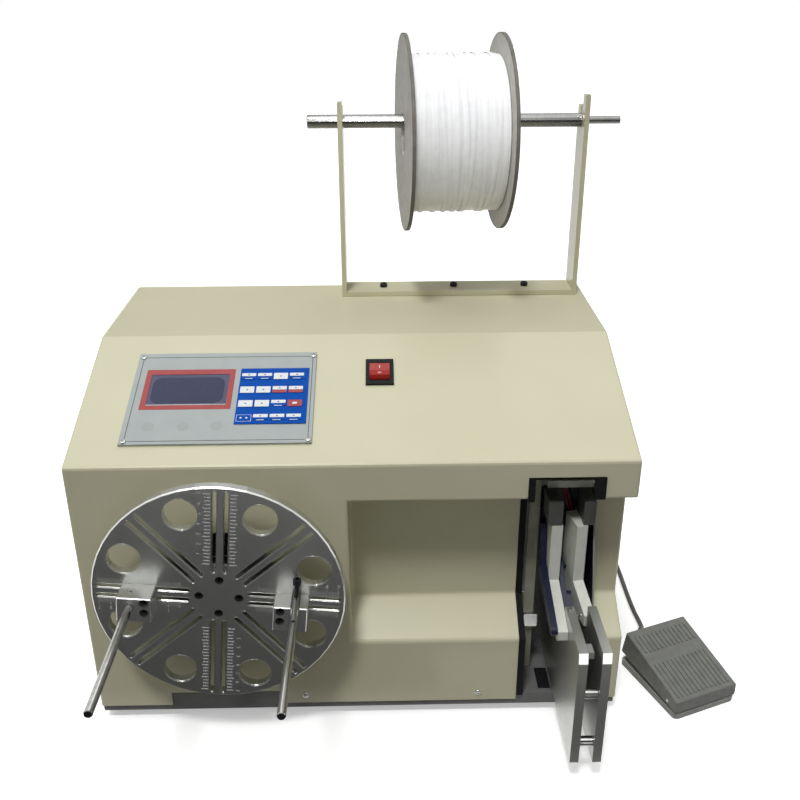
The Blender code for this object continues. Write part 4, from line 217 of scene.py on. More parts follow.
def new_group(kind, name, inputs, outputs):
    """An empty group with named sockets of each kind, what its start gives and its end takes."""
    tree = bpy.data.node_groups.new(name, kind + "NodeTree")
    for side, sockets in (("INPUT", inputs), ("OUTPUT", outputs)):
        for socket_kind, labels in sockets.items():
            for label in labels:
                tree.interface.new_socket(label, in_out=side, socket_type="NodeSocket" + socket_kind)
    return tree, tree.nodes.new("NodeGroupInput").outputs, tree.nodes.new("NodeGroupOutput").inputs


def put_in(name, data):
    """A new object in the scene."""
    thing = bpy.data.objects.new(name, data)
    bpy.context.scene.collection.objects.link(thing)
    return thing


def mesh_of(bm, name):
    """The mesh of a finished shape."""
    mesh = bpy.data.meshes.new(name)
    bm.to_mesh(mesh)
    bm.free()
    return mesh


def plain_mesh(carrier, matrix=None):
    """The mesh that a carrier works out to; the carrier itself goes."""
    view = bpy.context.evaluated_depsgraph_get()
    mesh = bpy.data.meshes.new_from_object(carrier.evaluated_get(view))
    bpy.data.objects.remove(carrier)
    if matrix is not None:
        mesh.transform(matrix)
    return mesh


# Materials

PATCH_RANGE = (0.3, 0.7)     # most of the noise lies between these


def patchy_group():
    """Soft patches: a value that wanders between two, and a colour that wanders between two."""
    tree, given, result = new_group("Shader", "patchy", {
        "Vector": ["Place"], "Float": ["Patch", "Low", "High"], "Color": ["Tone", "Second Tone"]},
        {"Float": ["Value"], "Color": ["Colour"]})
    noise = joined(tree, "ShaderNodeTexNoise", {
        "Vector": given["Place"], "Scale": maths(tree, "DIVIDE", 1, given["Patch"]), "Detail": 4})
    spread = joined(tree, "ShaderNodeMapRange", {
        "Value": noise["Fac"], "From Min": PATCH_RANGE[0], "From Max": PATCH_RANGE[1]})[0]
    reach = joined(tree, "ShaderNodeMapRange", {
        "Value": spread, "To Min": given["Low"], "To Max": given["High"]})
    mix = joined(tree, "ShaderNodeMix", {0: spread, 6: given["Tone"], 7: given["Second Tone"]},
                 data_type="RGBA")
    tree.links.new(reach[0], result["Value"])
    tree.links.new(mix[2], result["Colour"])
    return tree


def grain_group():
    """Fine relief, drawn out along any axis by the size of a grain on each."""
    tree, given, result = new_group("Shader", "grain", {"Vector": ["Place", "Grain"]},
                                    {"Float": ["Height"]})
    grains = joined(tree, "ShaderNodeVectorMath", {0: given["Place"], 1: given["Grain"]},
                    operation="DIVIDE")
    noise = joined(tree, "ShaderNodeTexNoise", {"Vector": grains[0], "Scale": 1, "Detail": 3})
    tree.links.new(noise["Fac"], result["Height"])
    return tree


def make_look(key, turned_to):
    """One finish: patchy colour and roughness with a fine relief, in the frame it is turned to."""
    tone, second, rough, patch, grain, depth, metal = FINISHES[key]
    material = bpy.data.materials.new(key)
    material.use_nodes = True
    material.diffuse_color = (*tone, 1)
    tree = material.node_tree
    back = turned_to.inverted()
    place = joined(tree, "ShaderNodeMapping", {
        "Vector": joined(tree, "ShaderNodeTexCoord")["Object"],
        "Location": back.to_translation(), "Rotation": back.to_euler()})[0]
    patches = joined(tree, "ShaderNodeGroup", {
        "Place": place, "Patch": patch, "Low": rough[0], "High": rough[1],
        "Tone": (*tone, 1), "Second Tone": (*second, 1)}, node_tree=PATCHY)
    relief = joined(tree, "ShaderNodeGroup", {
        "Place": place, "Grain": grain if isinstance(grain, tuple) else (grain,) * 3}, node_tree=GRAIN)
    bump = joined(tree, "ShaderNodeBump", {"Height": relief["Height"], "Distance": depth})
    feed(tree, tree.nodes["Principled BSDF"], {
        "Base Color": patches["Colour"], "Roughness": patches["Value"],
        "Normal": bump["Normal"], "Metallic": metal,
        "Specular IOR Level": MIRRORED.get(key, PLAIN_MIRROR)})
    return material


PATCHY = patchy_group()
GRAIN = grain_group()
TURNED = {"disc": DISC, "block": DISC, "film": SLOPE, "glass": SLOPE, "keypad": SLOPE, "pedal": PEDAL}
LOOKS = {key: make_look(key, TURNED.get(key, MACHINE)) for key in FINISHES}


# Shapes

ROUND_SIDES = 48
SHARP_ANGLE = math.radians(35)
DOUBLED = 0.000001      # corners nearer than this are one corner


# Ways to lay a shape: it rises up, out to the front or out to the right side

def up_z(a, b, c):
    return Vector((a, b, c))


def out_front(a, b, c):
    return Vector((a, -c, b))


def out_side(a, b, c):
    return Vector((c, a, b))


def circle(radius, sides=ROUND_SIDES, middle=0, start=0):
    """Outline of a circle, its middle out along the first way."""
    turns = [start + 2 * math.pi * k / sides for k in range(sides)]
    return [(middle + radius * math.cos(turn), radius * math.sin(turn)) for turn in turns]


def arc(middle, radius, first, sweep, steps):
    """Points along an arc, its first angle and its sweep in degrees."""
    turns = [math.radians(first + sweep * k / steps) for k in range(steps + 1)]
    return [(middle[0] + radius * math.cos(turn), middle[1] + radius * math.sin(turn)) for turn in turns]


def shrunk(low, high, by):
    """The two corners of a rectangle, drawn in."""
    return (low[0] + by, low[1] + by), (high[0] - by, high[1] - by)


def oblong(low, high, radius=0, steps=4):
    """Outline of a rectangle with rounded corners."""
    (left, bottom), (right, top) = shrunk(low, high, radius)
    corners = [(left, bottom), (right, bottom), (right, top), (left, top)]
    if radius == 0:
        return corners
    return [point for k in range(4) for point in arc(corners[k - 3], radius, 90 * k - 90, 90, steps)]


def long_hole(start, end, across, radius, steps=6):
    """Outline of a slot with round ends, its middle line from start to end."""
    return arc((end, across), radius, -90, 180, steps) + arc((start, across), radius, 90, 180, steps)


def band(bm, low, high):
    """Faces between two closed rows of as many corners; either may be a single point."""
    count = max(len(low), len(high))
    for k in range(count):
        j = (k + 1) % count
        if len(low) == 1:
            bm.faces.new((low[0], high[j], high[k]))
        elif len(high) == 1:
            bm.faces.new((low[k], low[j], high[0]))
        else:
            bm.faces.new((low[k], low[j], high[j], high[k]))


def stack(bm, rings):
    """Faces between each row of corners and the next."""
    for low, high in zip(rings, rings[1:]):
        band(bm, low, high)


def prism(bm, outline, low, high, lay=up_z):
    """Closed solid from an outline of (a, b), drawn out from low to high, placed by lay(a, b, c)."""
    rings = [[bm.verts.new(lay(a, b, c)) for a, b in outline] for c in (low, high)]
    bm.faces.new(rings[0])
    bm.faces.new(rings[1][::-1])
    band(bm, rings[1], rings[0])


def turned(bm, profile, sides, lay):
    """Closed solid from a profile of (radius, height) about an axis, placed by lay(a, b, height)."""
    stack(bm, [[bm.verts.new(lay(a, b, height)) for a, b in (circle(radius, sides) if radius else [(0, 0)])]
               for radius, height in profile])


def closed_ring(bm, levels, lay):
    """Closed ring through outlines of as many corners, each at its height."""
    rings = [[bm.verts.new(lay(a, b, c)) for a, b in outline] for outline, c in levels]
    stack(bm, rings + rings[:1])


def ring_between(bm, outer, inner, bottom, top, lay=up_z):
    """Flat closed ring between two outlines of as many corners."""
    closed_ring(bm, [(outer, bottom), (outer, top), (inner, top), (inner, bottom)], lay)


def rod_along(bm, one, two, radius, sides=12):
    """Round bar between two points."""
    one, two = Vector(one), Vector(two)
    way = (two - one).normalized()
    side = way.orthogonal().normalized()
    other = way.cross(side)
    length = (two - one).length
    turned(bm, [(0, 0), (radius, 0), (radius, length), (0, length)], sides,
           lambda a, b, c: one + side * a + other * b + way * c)


def round_wire(name, points, radius, fineness):
    """Round wire through these points, its ends closed."""
    curve = bpy.data.curves.new(name, "CURVE")
    curve.dimensions = "3D"
    curve.bevel_depth = radius
    curve.bevel_resolution = fineness
    curve.use_fill_caps = True
    line = curve.splines.new("POLY")
    line.points.add(len(points) - 1)
    for point, place in zip(line.points, points):
        point.co = (*place, 1)
    line.use_smooth = True
    return put_in(name, curve)


def take_on(mesh, name, look, body, smooth=True):
    """Makes a mesh a piece that rides on a body, with a look."""
    mesh.materials.clear()
    mesh.materials.append(LOOKS[look])
    if smooth:
        mesh.shade_smooth()
        mesh.set_sharp_from_angle(angle=SHARP_ANGLE)
    else:
        mesh.shade_flat()
    piece = put_in(name, mesh)
    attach(piece, body)
    return piece


def settle(bm, name, look, body, matrix=MACHINE, smooth=True):
    """Turns a shape into a piece, moved to where it belongs."""
    bmesh.ops.recalc_face_normals(bm, faces=bm.faces)
    mesh = mesh_of(bm, name)
    mesh.transform(matrix)
    return take_on(mesh, name, look, body, smooth)


@contextmanager
def new_piece(name, look, body="machine", matrix=MACHINE, smooth=True):
    """An empty shape to fill, which is then settled."""
    bm = bmesh.new()
    yield bm
    settle(bm, name, look, body, matrix, smooth)


new_print = partial(new_piece, matrix=SLOPE, smooth=False)


# Camera

def set_camera():
    """The camera that was solved from the photo's edges."""
    data = bpy.data.cameras.new("view")
    data.lens = CAMERA_LENS
    data.sensor_width = CAMERA_SENSOR
    data.clip_start, data.clip_end = CAMERA_REACH
    camera = put_in("view", data)
    turn = (Matrix.Rotation(CAMERA_YAW, 4, "Z") @ Matrix.Rotation(CAMERA_PITCH, 4, "X")
            @ Matrix.Rotation(CAMERA_ROLL, 4, "Y") @ Matrix.Rotation(math.pi / 2, 4, "X"))
    camera.matrix_world = Matrix.Translation(HOME + CAMERA_PLACE) @ turn
    bpy.context.scene.camera = camera


# Cable

def smooth_route(points):
    """Points at about one step along a smooth curve; the first and last stretches stay straight."""
    places = [Vector(p) for p in points]
    first_way = (places[1] - places[0]).normalized()
    last_way = (places[-1] - places[-2]).normalized()
    before = places[2] - 2 * first_way * (places[2] - places[1]).length
    after = places[-3] + 2 * last_way * (places[-2] - places[-3]).length
    ends = [before] + places[1:-1] + [after]
    fine = []
    for i in range(1, len(ends) - 2):
        a, b, c, d = ends[i - 1:i + 3]
        for k in range(ROUTE_STEPS):
            t = k / ROUTE_STEPS
            square = (2 * a - 5 * b + 4 * c - d) * t * t
            cube = (3 * b - a - 3 * c + d) * t ** 3
            fine.append(0.5 * ((2 * b) + (c - a) * t + square + cube))
    fine.append(places[-2])
    lengths = [0]
    for one, two in zip(fine, fine[1:]):
        lengths.append(lengths[-1] + (two - one).length)
    count = max(2, round(lengths[-1] / CABLE_STEP))
    chosen, index = [], 0
    for k in range(count + 1):
        wanted = lengths[-1] * k / count
        while index < len(lengths) - 2 and lengths[index + 1] < wanted:
            index += 1
        span = lengths[index + 1] - lengths[index]
        share = (wanted - lengths[index]) / span if span else 0
        chosen.append(fine[index].lerp(fine[index + 1], share))
    return [places[0]] + chosen + [places[-1]]


def coil_route():
    """A flat coil of two layers: in on the bench, then out on top, with one climb between."""
    total = COIL_TURNS * COIL_LAYERS * LOOP_POINTS
    half_turn = LOOP_POINTS // 2
    points = []
    for k in range(total + 1):
        turn = 2 * math.pi * k / LOOP_POINTS
        depth = min(k, total - k) / LOOP_POINTS
        radius = COIL_INNER + COIL_PITCH * (COIL_TURNS - depth)
        climb = min(max((k - total / 2 + half_turn / 2) / half_turn, 0), 1)
        points.append(Vector((COIL_PLACE[0] + radius * math.cos(turn),
                              COIL_PLACE[1] + radius * math.sin(turn), CABLE_REST + COIL_RISE * climb)))
    straight = Vector((0, CABLE_STRAIGHT, 0))
    return [points[0] - straight] + points + [points[-1] + straight]


def lay_cable():
    """One cable from the gland through its coil to the pedal."""
    coil = coil_route()
    run = Vector((0, 2 * CABLE_STRAIGHT, 0))
    leaving = Vector(GLAND_EXIT)
    first = smooth_route([leaving, leaving + run] + GLAND_ROUTE + [coil[0] - run, coil[0]])
    pedal_turn = Matrix.Rotation(PEDAL_TURN, 3, "Z")
    entry = Vector(PEDAL_PLACE) + pedal_turn @ Vector((*PEDAL_ENTRY_ALONG, PEDAL_ENTRY_HEIGHT))
    second = smooth_route([coil[-1], coil[-1] + run] + PEDAL_ROUTE + [entry + pedal_turn @ run, entry])
    points = [HOME + place for place in first[:-1] + coil + second[1:]]
    cable = round_wire("pedal_cable", points, CABLE_RADIUS, CABLE_FINENESS)
    cable.data.materials.append(LOOKS["sheath"])
    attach(cable, "machine")
    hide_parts("cable_from_gland", "cable_coil", "cable_to_pedal")


set_camera()
lay_cable()


# Finishes of the machine's own solids

for look_name, names in DRESSED.items():
    for node_name in names:
        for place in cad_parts[node_name].material_slots:
            place.material = LOOKS[look_name]


# Screws and other copies

def geometry_tree(name, inputs):
    """An empty geometry tree with these named inputs and one for its finish."""
    mesh = {"Geometry": ["Geometry"]}
    return new_group("Geometry", name, {**mesh, **inputs, "Material": ["Finish"]}, mesh)


def finished_tree(tree, given, result, made):
    """Ends a geometry tree: its copies made real, and its finish put on."""
    real = joined(tree, "GeometryNodeRealizeInstances", {0: made})
    paint = joined(tree, "GeometryNodeSetMaterial", {"Geometry": real[0], "Material": given["Finish"]})
    tree.links.new(paint[0], result[0])
    return tree


def run_tree(mesh, tree, values, name, look, body, matrix=None, smooth=True):
    """Runs a geometry tree on a mesh and keeps the plain result as a piece."""
    carrier = put_in("carrier", mesh)
    modifier = carrier.modifiers.new("tree", "NODES")
    modifier.node_group = tree
    values = {**values, "Finish": LOOKS[look]}
    for item in tree.interface.items_tree:
        if item.item_type == "SOCKET" and item.in_out == "INPUT" and item.name in values:
            modifier[item.identifier] = values[item.name]
    carrier.update_tag()
    result = plain_mesh(carrier, matrix)
    result.name = name
    return take_on(result, name, look, body, smooth)


def copies_tree():
    """A copy of one object on each point, turned as the point says."""
    tree, given, result = geometry_tree("set_out_copies", {"Object": ["Copy"], "Float": ["Size"]})
    copy = joined(tree, "GeometryNodeObjectInfo", {"Object": given["Copy"]})
    turn = joined(tree, "GeometryNodeInputNamedAttribute", {"Name": "turn"}, data_type="FLOAT_VECTOR")
    copies = joined(tree, "GeometryNodeInstanceOnPoints", {
        "Points": given["Geometry"], "Instance": copy["Geometry"],
        "Rotation": turn["Attribute"], "Scale": given["Size"]})
    return finished_tree(tree, given, result, copies[0])


def points_mesh(name, places):
    """Points with a turn each: the way that the copy's own z is to face."""
    mesh = bpy.data.meshes.new(name)
    mesh.from_pydata([tuple(place) for place, way in places], [], [])
    turns = mesh.attributes.new("turn", "FLOAT_VECTOR", "POINT")
    for item, (place, way) in zip(turns.data, places):
        item.vector = Vector(way).to_track_quat("Z", "Y").to_euler()
    return mesh


def template(name, make):
    """A shape of unit radius that the copies are made from; it is removed once they are made."""
    bm = bmesh.new()
    make(bm)
    bmesh.ops.recalc_face_normals(bm, faces=bm.faces)
    return put_in(name, mesh_of(bm, name))


# Heads of unit radius: the rounds from the seat up, by radius and height
SOCKET_ROUNDS = ((1.0, -0.3), (1.0, 0.85), (0.88, 1.0), (0.56, 1.0))
SOCKET_HEIGHTS = (1.0, 0.45)
SOCKET_REACH = 0.46
SOCKET_SIDES = 24
CROSS_ROUNDS = ((1.0, -0.3), (1.0, 0.12), (0.9, 0.34), (0.72, 0.46))
CROSS_TOP = 0.5
CROSS_DEEP = 0.18
CROSS_ARM = 0.13
CROSS_REACH = 0.52
CROSS_TAPER = 0.8


def socket_head(bm):
    """Cylinder head with a six-sided socket."""
    outlines = [(circle(radius, SOCKET_SIDES), height) for radius, height in SOCKET_ROUNDS]
    sixth = math.radians(60)
    socket = []
    for k in range(SOCKET_SIDES):
        turn = 2 * math.pi * k / SOCKET_SIDES
        flat = sixth * round((turn + sixth / 2) // sixth)
        reach = SOCKET_REACH / math.cos(turn - flat)
        socket.append((reach * math.cos(turn), reach * math.sin(turn)))
    outlines += [(socket, height) for height in SOCKET_HEIGHTS]
    rings = [[bm.verts.new((a, b, height)) for a, b in outline] for outline, height in outlines]
    stack(bm, rings)
    bm.faces.new(rings[0][::-1])
    bm.faces.new(rings[-1])


def cross_head(bm):
    """Low domed head with a cross pressed into it."""
    arm, reach = CROSS_ARM, CROSS_REACH
    cross, quarter = [], [(arm, arm), (arm, reach), (-arm, reach)]
    for k in range(4):
        cross += quarter
        quarter = [(-y, x) for x, y in quarter]
    sides = len(cross)
    start = math.atan2(cross[0][1], cross[0][0])
    rings = [[bm.verts.new((a, b, height)) for a, b in circle(radius, 2 * sides, 0, start)]
             for radius, height in CROSS_ROUNDS]
    stack(bm, rings)
    bm.faces.new(rings[0][::-1])
    upper = [bm.verts.new((x, y, CROSS_TOP)) for x, y in cross]
    floor = [bm.verts.new((x * CROSS_TAPER, y * CROSS_TAPER, CROSS_DEEP)) for x, y in cross]
    outer = rings[-1]
    for k in range(sides):
        j = (k + 1) % sides
        middle = (2 * k + 1) % (2 * sides)
        bm.faces.new((outer[2 * k], outer[middle], upper[k]))
        bm.faces.new((outer[middle], outer[2 * j], upper[j], upper[k]))
        bm.faces.new((upper[k], upper[j], floor[j], floor[k]))
    bm.faces.new(floor)


COPIES = copies_tree()
SOCKET_HEAD = template("socket_head", socket_head)
CROSS_HEAD = template("cross_head", cross_head)
# Each set of screws: its head, the head's radius and its look
SCREWS = {
    "bracket_screws": (SOCKET_HEAD, 0.004, "black"), "cover_screws": (CROSS_HEAD, 0.003, "steel"),
    "panel_screws": (CROSS_HEAD, 0.0026, "steel"), "control_plate_screws": (CROSS_HEAD, 0.0029, "steel"),
    "disc_screws": (SOCKET_HEAD, 0.0041, "black"), "left_block_bolts": (SOCKET_HEAD, 0.004, "black"),
    "right_block_bolts": (SOCKET_HEAD, 0.004, "black"), "plate_top_screw": (SOCKET_HEAD, 0.002, "edge"),
    "cheek_screw": (CROSS_HEAD, 0.0028, "edge"), "left_grub_screw": (SOCKET_HEAD, 0.0016, "steel"),
}
FORWARD = (0, -1, 0)
BACKWARD = (0, 1, 0)
UPWARD = (0, 0, 1)


def set_out(name, places, body="machine", matrix=MACHINE):
    """A set of screws at these places and ways, as one piece."""
    head, radius, look = SCREWS[name]
    moved = [(matrix @ Vector(place), matrix.to_3x3() @ Vector(way)) for place, way in places]
    run_tree(points_mesh(name, moved), COPIES, {"Copy": head, "Size": radius}, name, look, body)


# Where the screws of the cover, the spool bracket, the rear panel and the control plate sit
BRACKET_SCREWS_X = (0.0286, 0.1065, 0.1852)
BRACKET_SCREWS = (0.297, COVER_TOP + 0.0053)      # depth and height, on the bracket's foot
COVER_SCREWS_Z = 0.0262
FRONT_SCREWS_X = (-0.052, 0.115)
SIDE_SCREWS_Y = (0.035, 0.16, 0.285)
COVER_SIDE = 0.25
REAR_SCREWS_X = (-0.236, 0, 0.236)
REAR_SCREWS_Z = (0.034, 0.322)
REAR_FACE = 0.318
INLET_SCREWS_X = (0.15, 0.19)
INLET_SCREWS = (0.3213, 0.075)      # depth and height
PLATE_FACE = 0.0023
PLATE_SCREWS_X = (-0.2017, -0.04)
PLATE_SCREWS_U = (0.0283, 0.1386)
# Where the screws of the disc and of the clamp blocks sit
DISC_SCREW_CIRCLE = 0.0175
DISC_SCREW_SEAT = -0.025
BLOCK_BOLTS_X = {"left": -0.0604, "right": 0.0554}
BLOCK_BOLTS_SEAT = -0.045
BLOCK_BOLTS_APART = 0.005


def body_screws():
    """Screws of the spool bracket, the cover, the rear panel and the control plate."""
    set_out("bracket_screws", [((x, *BRACKET_SCREWS), UPWARD) for x in BRACKET_SCREWS_X])
    front = [((x, 0, COVER_SCREWS_Z), FORWARD) for x in FRONT_SCREWS_X]
    sides = [((side * COVER_SIDE, y, COVER_SCREWS_Z), (side, 0, 0)) for y in SIDE_SCREWS_Y for side in (-1, 1)]
    set_out("cover_screws", front + sides)
    rear = [((x, REAR_FACE, z), BACKWARD) for x in REAR_SCREWS_X for z in REAR_SCREWS_Z]
    set_out("panel_screws", rear + [((x, *INLET_SCREWS), BACKWARD) for x in INLET_SCREWS_X])
    corners = [((x, u, PLATE_FACE), UPWARD) for x in PLATE_SCREWS_X for u in PLATE_SCREWS_U]
    set_out("control_plate_screws", corners, "machine", SLOPE)


def disc_screws():
    """Black screws sunk in the disc and in the two clamp blocks."""
    places = [((a, DISC_SCREW_SEAT, b), FORWARD) for a, b in circle(DISC_SCREW_CIRCLE, 4)]
    set_out("disc_screws", places, "winder", DISC)
    for side, x in BLOCK_BOLTS_X.items():
        bolts = [((x, BLOCK_BOLTS_SEAT, up * BLOCK_BOLTS_APART), FORWARD) for up in (-1, 1)]
        set_out(side + "_block_bolts", bolts, side + "_clamp", DISC)


# Disc scale, slots and holes

SCALE_START = 0.034
SCALE_END = 0.104
SCALE_OFFSET = 0.0084
LEVEL_MARKS = (29, 0.0038, 0.0056, 0.00055)     # number, length, long length and width
UPRIGHT_MARKS = (21, 0.005, 0.0062, 0.00085)
MARKS_TO_LONG = 4
MARK_RISE = 0.25
FIGURES = 7
FIGURE_OFFSET = 0.018
FIGURE_SIZE = 0.005
FIGURE_STEP = 0.01
FIGURE_FINENESS = 3
DISC_FACE = -0.03
PRINT = 0.0001
DISC_ARMS = 8
SLOT_LINE = (0.027, 0.105)
SLOT_ACROSS = 0.005
SLOT_HALF = 0.002
HOLE_CIRCLE = 0.0885
HOLE_RADIUS = 0.015
EDGE_LINES = ((-0.0003, -0.001), (0.0005, 0.00015), (0.0006, -0.0001))   # out from an edge, and height
# Black ring on the cover's front round the spindle, a painted shadow of the disc: its radii and depths
SHADOW_RING_RADII = (0.0245, 0.0475)
SHADOW_RING_DEPTHS = (0.0002, 0.0012)


def scale_tree():
    """A row of marks across a line; every fourth one is longer."""
    tree, given, result = geometry_tree("scale_marks", {
        "Int": ["Marks"], "Float": ["Pitch", "Length", "Long Length", "Width", "Side"]})
    line = joined(tree, "GeometryNodeMeshLine", {
        "Count": given["Marks"], "Offset": spot(tree, given["Pitch"])})
    index = joined(tree, "GeometryNodeInputIndex")[0]
    plain = maths(tree, "GREATER_THAN", maths(tree, "MODULO", index, MARKS_TO_LONG), 0.5)
    length = joined(tree, "ShaderNodeMix", {0: plain, 2: given["Long Length"], 3: given["Length"]})
    cube = joined(tree, "GeometryNodeMeshCube", {"Size": (1, 1, MARK_RISE)})
    shift = joined(tree, "GeometryNodeTransform", {
        "Geometry": cube["Mesh"],
        "Translation": spot(tree, 0, maths(tree, "MULTIPLY", given["Side"], 0.5))})
    marks = joined(tree, "GeometryNodeInstanceOnPoints", {
        "Points": line["Mesh"], "Instance": shift[0],
        "Scale": spot(tree, given["Width"], length[0], given["Width"])})
    return finished_tree(tree, given, result, marks[0])


def on_disc(turn):
    """Frame of a line out from the disc's middle: x outward, z out of the face."""
    return (DISC @ Matrix.Rotation(-turn, 4, "Y") @ Matrix.Translation((0, DISC_FACE - PRINT / 2, 0))
            @ Matrix.Rotation(math.pi / 2, 4, "X"))


def words(text, size, matrix):
    """Raised figures as a mesh, centred on the matrix's place."""
    curve = bpy.data.curves.new("figures", "FONT")
    curve.body = text
    curve.size = size
    curve.align_x = "CENTER"
    curve.align_y = "CENTER"
    curve.extrude = PRINT / 2
    curve.resolution_u = FIGURE_FINENESS
    return plain_mesh(put_in("figures", curve), matrix)


def merge(meshes, name):
    """One mesh of several, their doubled corners joined."""
    bm = bmesh.new()
    for mesh in meshes:
        bm.from_mesh(mesh)
    bmesh.ops.remove_doubles(bm, verts=bm.verts, dist=DOUBLED)
    return mesh_of(bm, name)


def disc_scale():
    """Light marks along the level and upright slots, with figures on one side of each."""
    tree = scale_tree()
    figures = []
    for k in range(4):
        here = on_disc(math.pi * k / 2)
        count, length, long_length, width = UPRIGHT_MARKS if k % 2 else LEVEL_MARKS
        for side in (-1, 1):
            values = {"Marks": count, "Pitch": (SCALE_END - SCALE_START) / (count - 1), "Length": length,
                      "Long Length": long_length, "Width": width, "Side": float(side)}
            start = Matrix.Translation((SCALE_START, side * SCALE_OFFSET, 0))
            run_tree(bpy.data.meshes.new("start"), tree, values, f"disc_marks_{k}_{side + 1}", "mark",
                     "winder", here @ start, smooth=False)
        for number in range(1, FIGURES + 1):
            at = Matrix.Translation((SCALE_START + number * FIGURE_STEP, FIGURE_OFFSET, 0))
            figures.append(words(str(number), FIGURE_SIZE, here @ at))
    take_on(merge(figures, "disc_figures"), "disc_figures", "mark", "winder", smooth=False)


def disc_edges():
    """Broken bright edges of the slots and round holes, and a black ring behind the disc that is the disc's
    shadow on the cover, painted.
    """
    with new_piece("disc_edges", "edge", "winder", Matrix()) as bm:
        for k in range(DISC_ARMS):
            arm, between = (on_disc(2 * math.pi * (k + part) / DISC_ARMS) for part in (0, 0.5))
            for across in (-SLOT_ACROSS, SLOT_ACROSS):
                closed_ring(bm, [(long_hole(*SLOT_LINE, across, SLOT_HALF + out), height)
                                 for out, height in EDGE_LINES], lambda *place: arm @ Vector(place))
            closed_ring(bm, [(circle(HOLE_RADIUS + out, middle=HOLE_CIRCLE), height)
                             for out, height in EDGE_LINES], lambda *place: between @ Vector(place))
    # Black ring round the spindle: the disc's shadow on the cover, painted
    with new_piece("spindle_seal", "rubber", "machine", DISC) as bm:
        ring_between(bm, circle(SHADOW_RING_RADII[1]), circle(SHADOW_RING_RADII[0]), *SHADOW_RING_DEPTHS, out_front)


# Controls, in the frame of the sloped face

FILM_FACE = PLATE_FACE + 0.0009
KEY_FACE = FILM_FACE + 0.0005
SCREEN_FACE = PLATE_FACE - 0.0003
# Printed frames: look, outer corners and their radius, inner corners and theirs
BORDER = tuple(zip(PLATE_SCREWS_X, PLATE_SCREWS_U))
PRINTED_FRAMES = {
    "control_border": ("print_grey", BORDER, 0.001, shrunk(*BORDER, 0.0008), 0.0006),
    "screen_frame": ("print_red", ((-0.1952, 0.0676), (-0.1122, 0.121)), 0.0008,
                     ((-0.19, 0.0732), (-0.1172, 0.1142)), 0.0005),
}
SCREEN_VIEW = ((-0.1872, 0.076), (-0.1208, 0.1102), 0.0085, 6)
BLANK_SPOTS_X = (-0.1832, -0.1522, -0.1225)
BLANK_SPOTS_U = (0.041, 0.052)
BLANK_SPOT_HALF = 0.0055
BLANK_SPOT_CORNER = 0.0054
KEY_FIRST = (-0.099, 0.1093)
KEY_STEP = (0.0149, 0.0181)
KEY_HALF = (0.00655, 0.0042)
KEY_CORNER = 0.0005
KEY_PATTERN = ("hhfh", "ffrr", "ffhR", " hhh")   # h half, f full, r white over red, R red
# Caps of each kind of key: look, bottom and top from its middle, inset at the sides, height
KEY_CAPS = {
    "h": [("white", 0.0002, KEY_HALF[1], 0, 0), ("white", -0.0034, -0.0026, 0.0028, 0)],
    "f": [("white", -KEY_HALF[1], KEY_HALF[1], 0, 0)],
    "r": [("white", -0.0002, KEY_HALF[1], 0, 0), ("print_red", -KEY_HALF[1], -0.0004, 0, 0)],
    "R": [("print_red", -KEY_HALF[1], KEY_HALF[1], 0, 0), ("white", -0.0012, 0.0012, 0.0044, PRINT)],
}
KEY_MARKS = {"h": 0.0021, "f": 0, "r": 0.0021}      # height of its small mark from a key's middle
KEY_MARK = ((-0.0011, -0.0008), (0.0011, -0.0008), (0, 0.001))
LIGHTS_HALF = (0.0067, 0.0042)
LIGHTS_LINE = 0.0003
LIGHTS_CORNERS = (0.0006, 0.0004)
LIGHT_APART = 0.0026
LIGHT_SIDES = 12
LIGHT_PROFILE = [(0, 0), (0.001, 0), (0.001, 0.0004), (0, 0.0006)]
ROCKER_U = (0.0987, 0.1332)
ROCKER_PIVOT_HALF = 0.003
ROCKER_PIVOT_CLEAR = 0.002
ROCKER_BAR = (0.0004, 0.0016)
ROCKER_RING = ((0.0017, 0.00169), (0.0011, 0.00109))     # half size and corner radius, out and in


def control_prints():
    """What is printed on the control plate: a border line, the screen's frame and blank spots."""
    top = PLATE_FACE + PRINT
    for name, (look, outer, outer_corner, inner, inner_corner) in PRINTED_FRAMES.items():
        with new_print(name, look) as bm:
            ring_between(bm, oblong(*outer, outer_corner), oblong(*inner, inner_corner), PLATE_FACE, top)
    with new_print("screen_view", "view") as bm:
        prism(bm, oblong(*SCREEN_VIEW), SCREEN_FACE, SCREEN_FACE + PRINT)
    low, high = BLANK_SPOTS_U
    with new_print("blank_spots", "film_spot") as bm:
        for x in BLANK_SPOTS_X:
            prism(bm, oblong((x - BLANK_SPOT_HALF, low), (x + BLANK_SPOT_HALF, high), BLANK_SPOT_CORNER, 8),
                  PLATE_FACE, top)


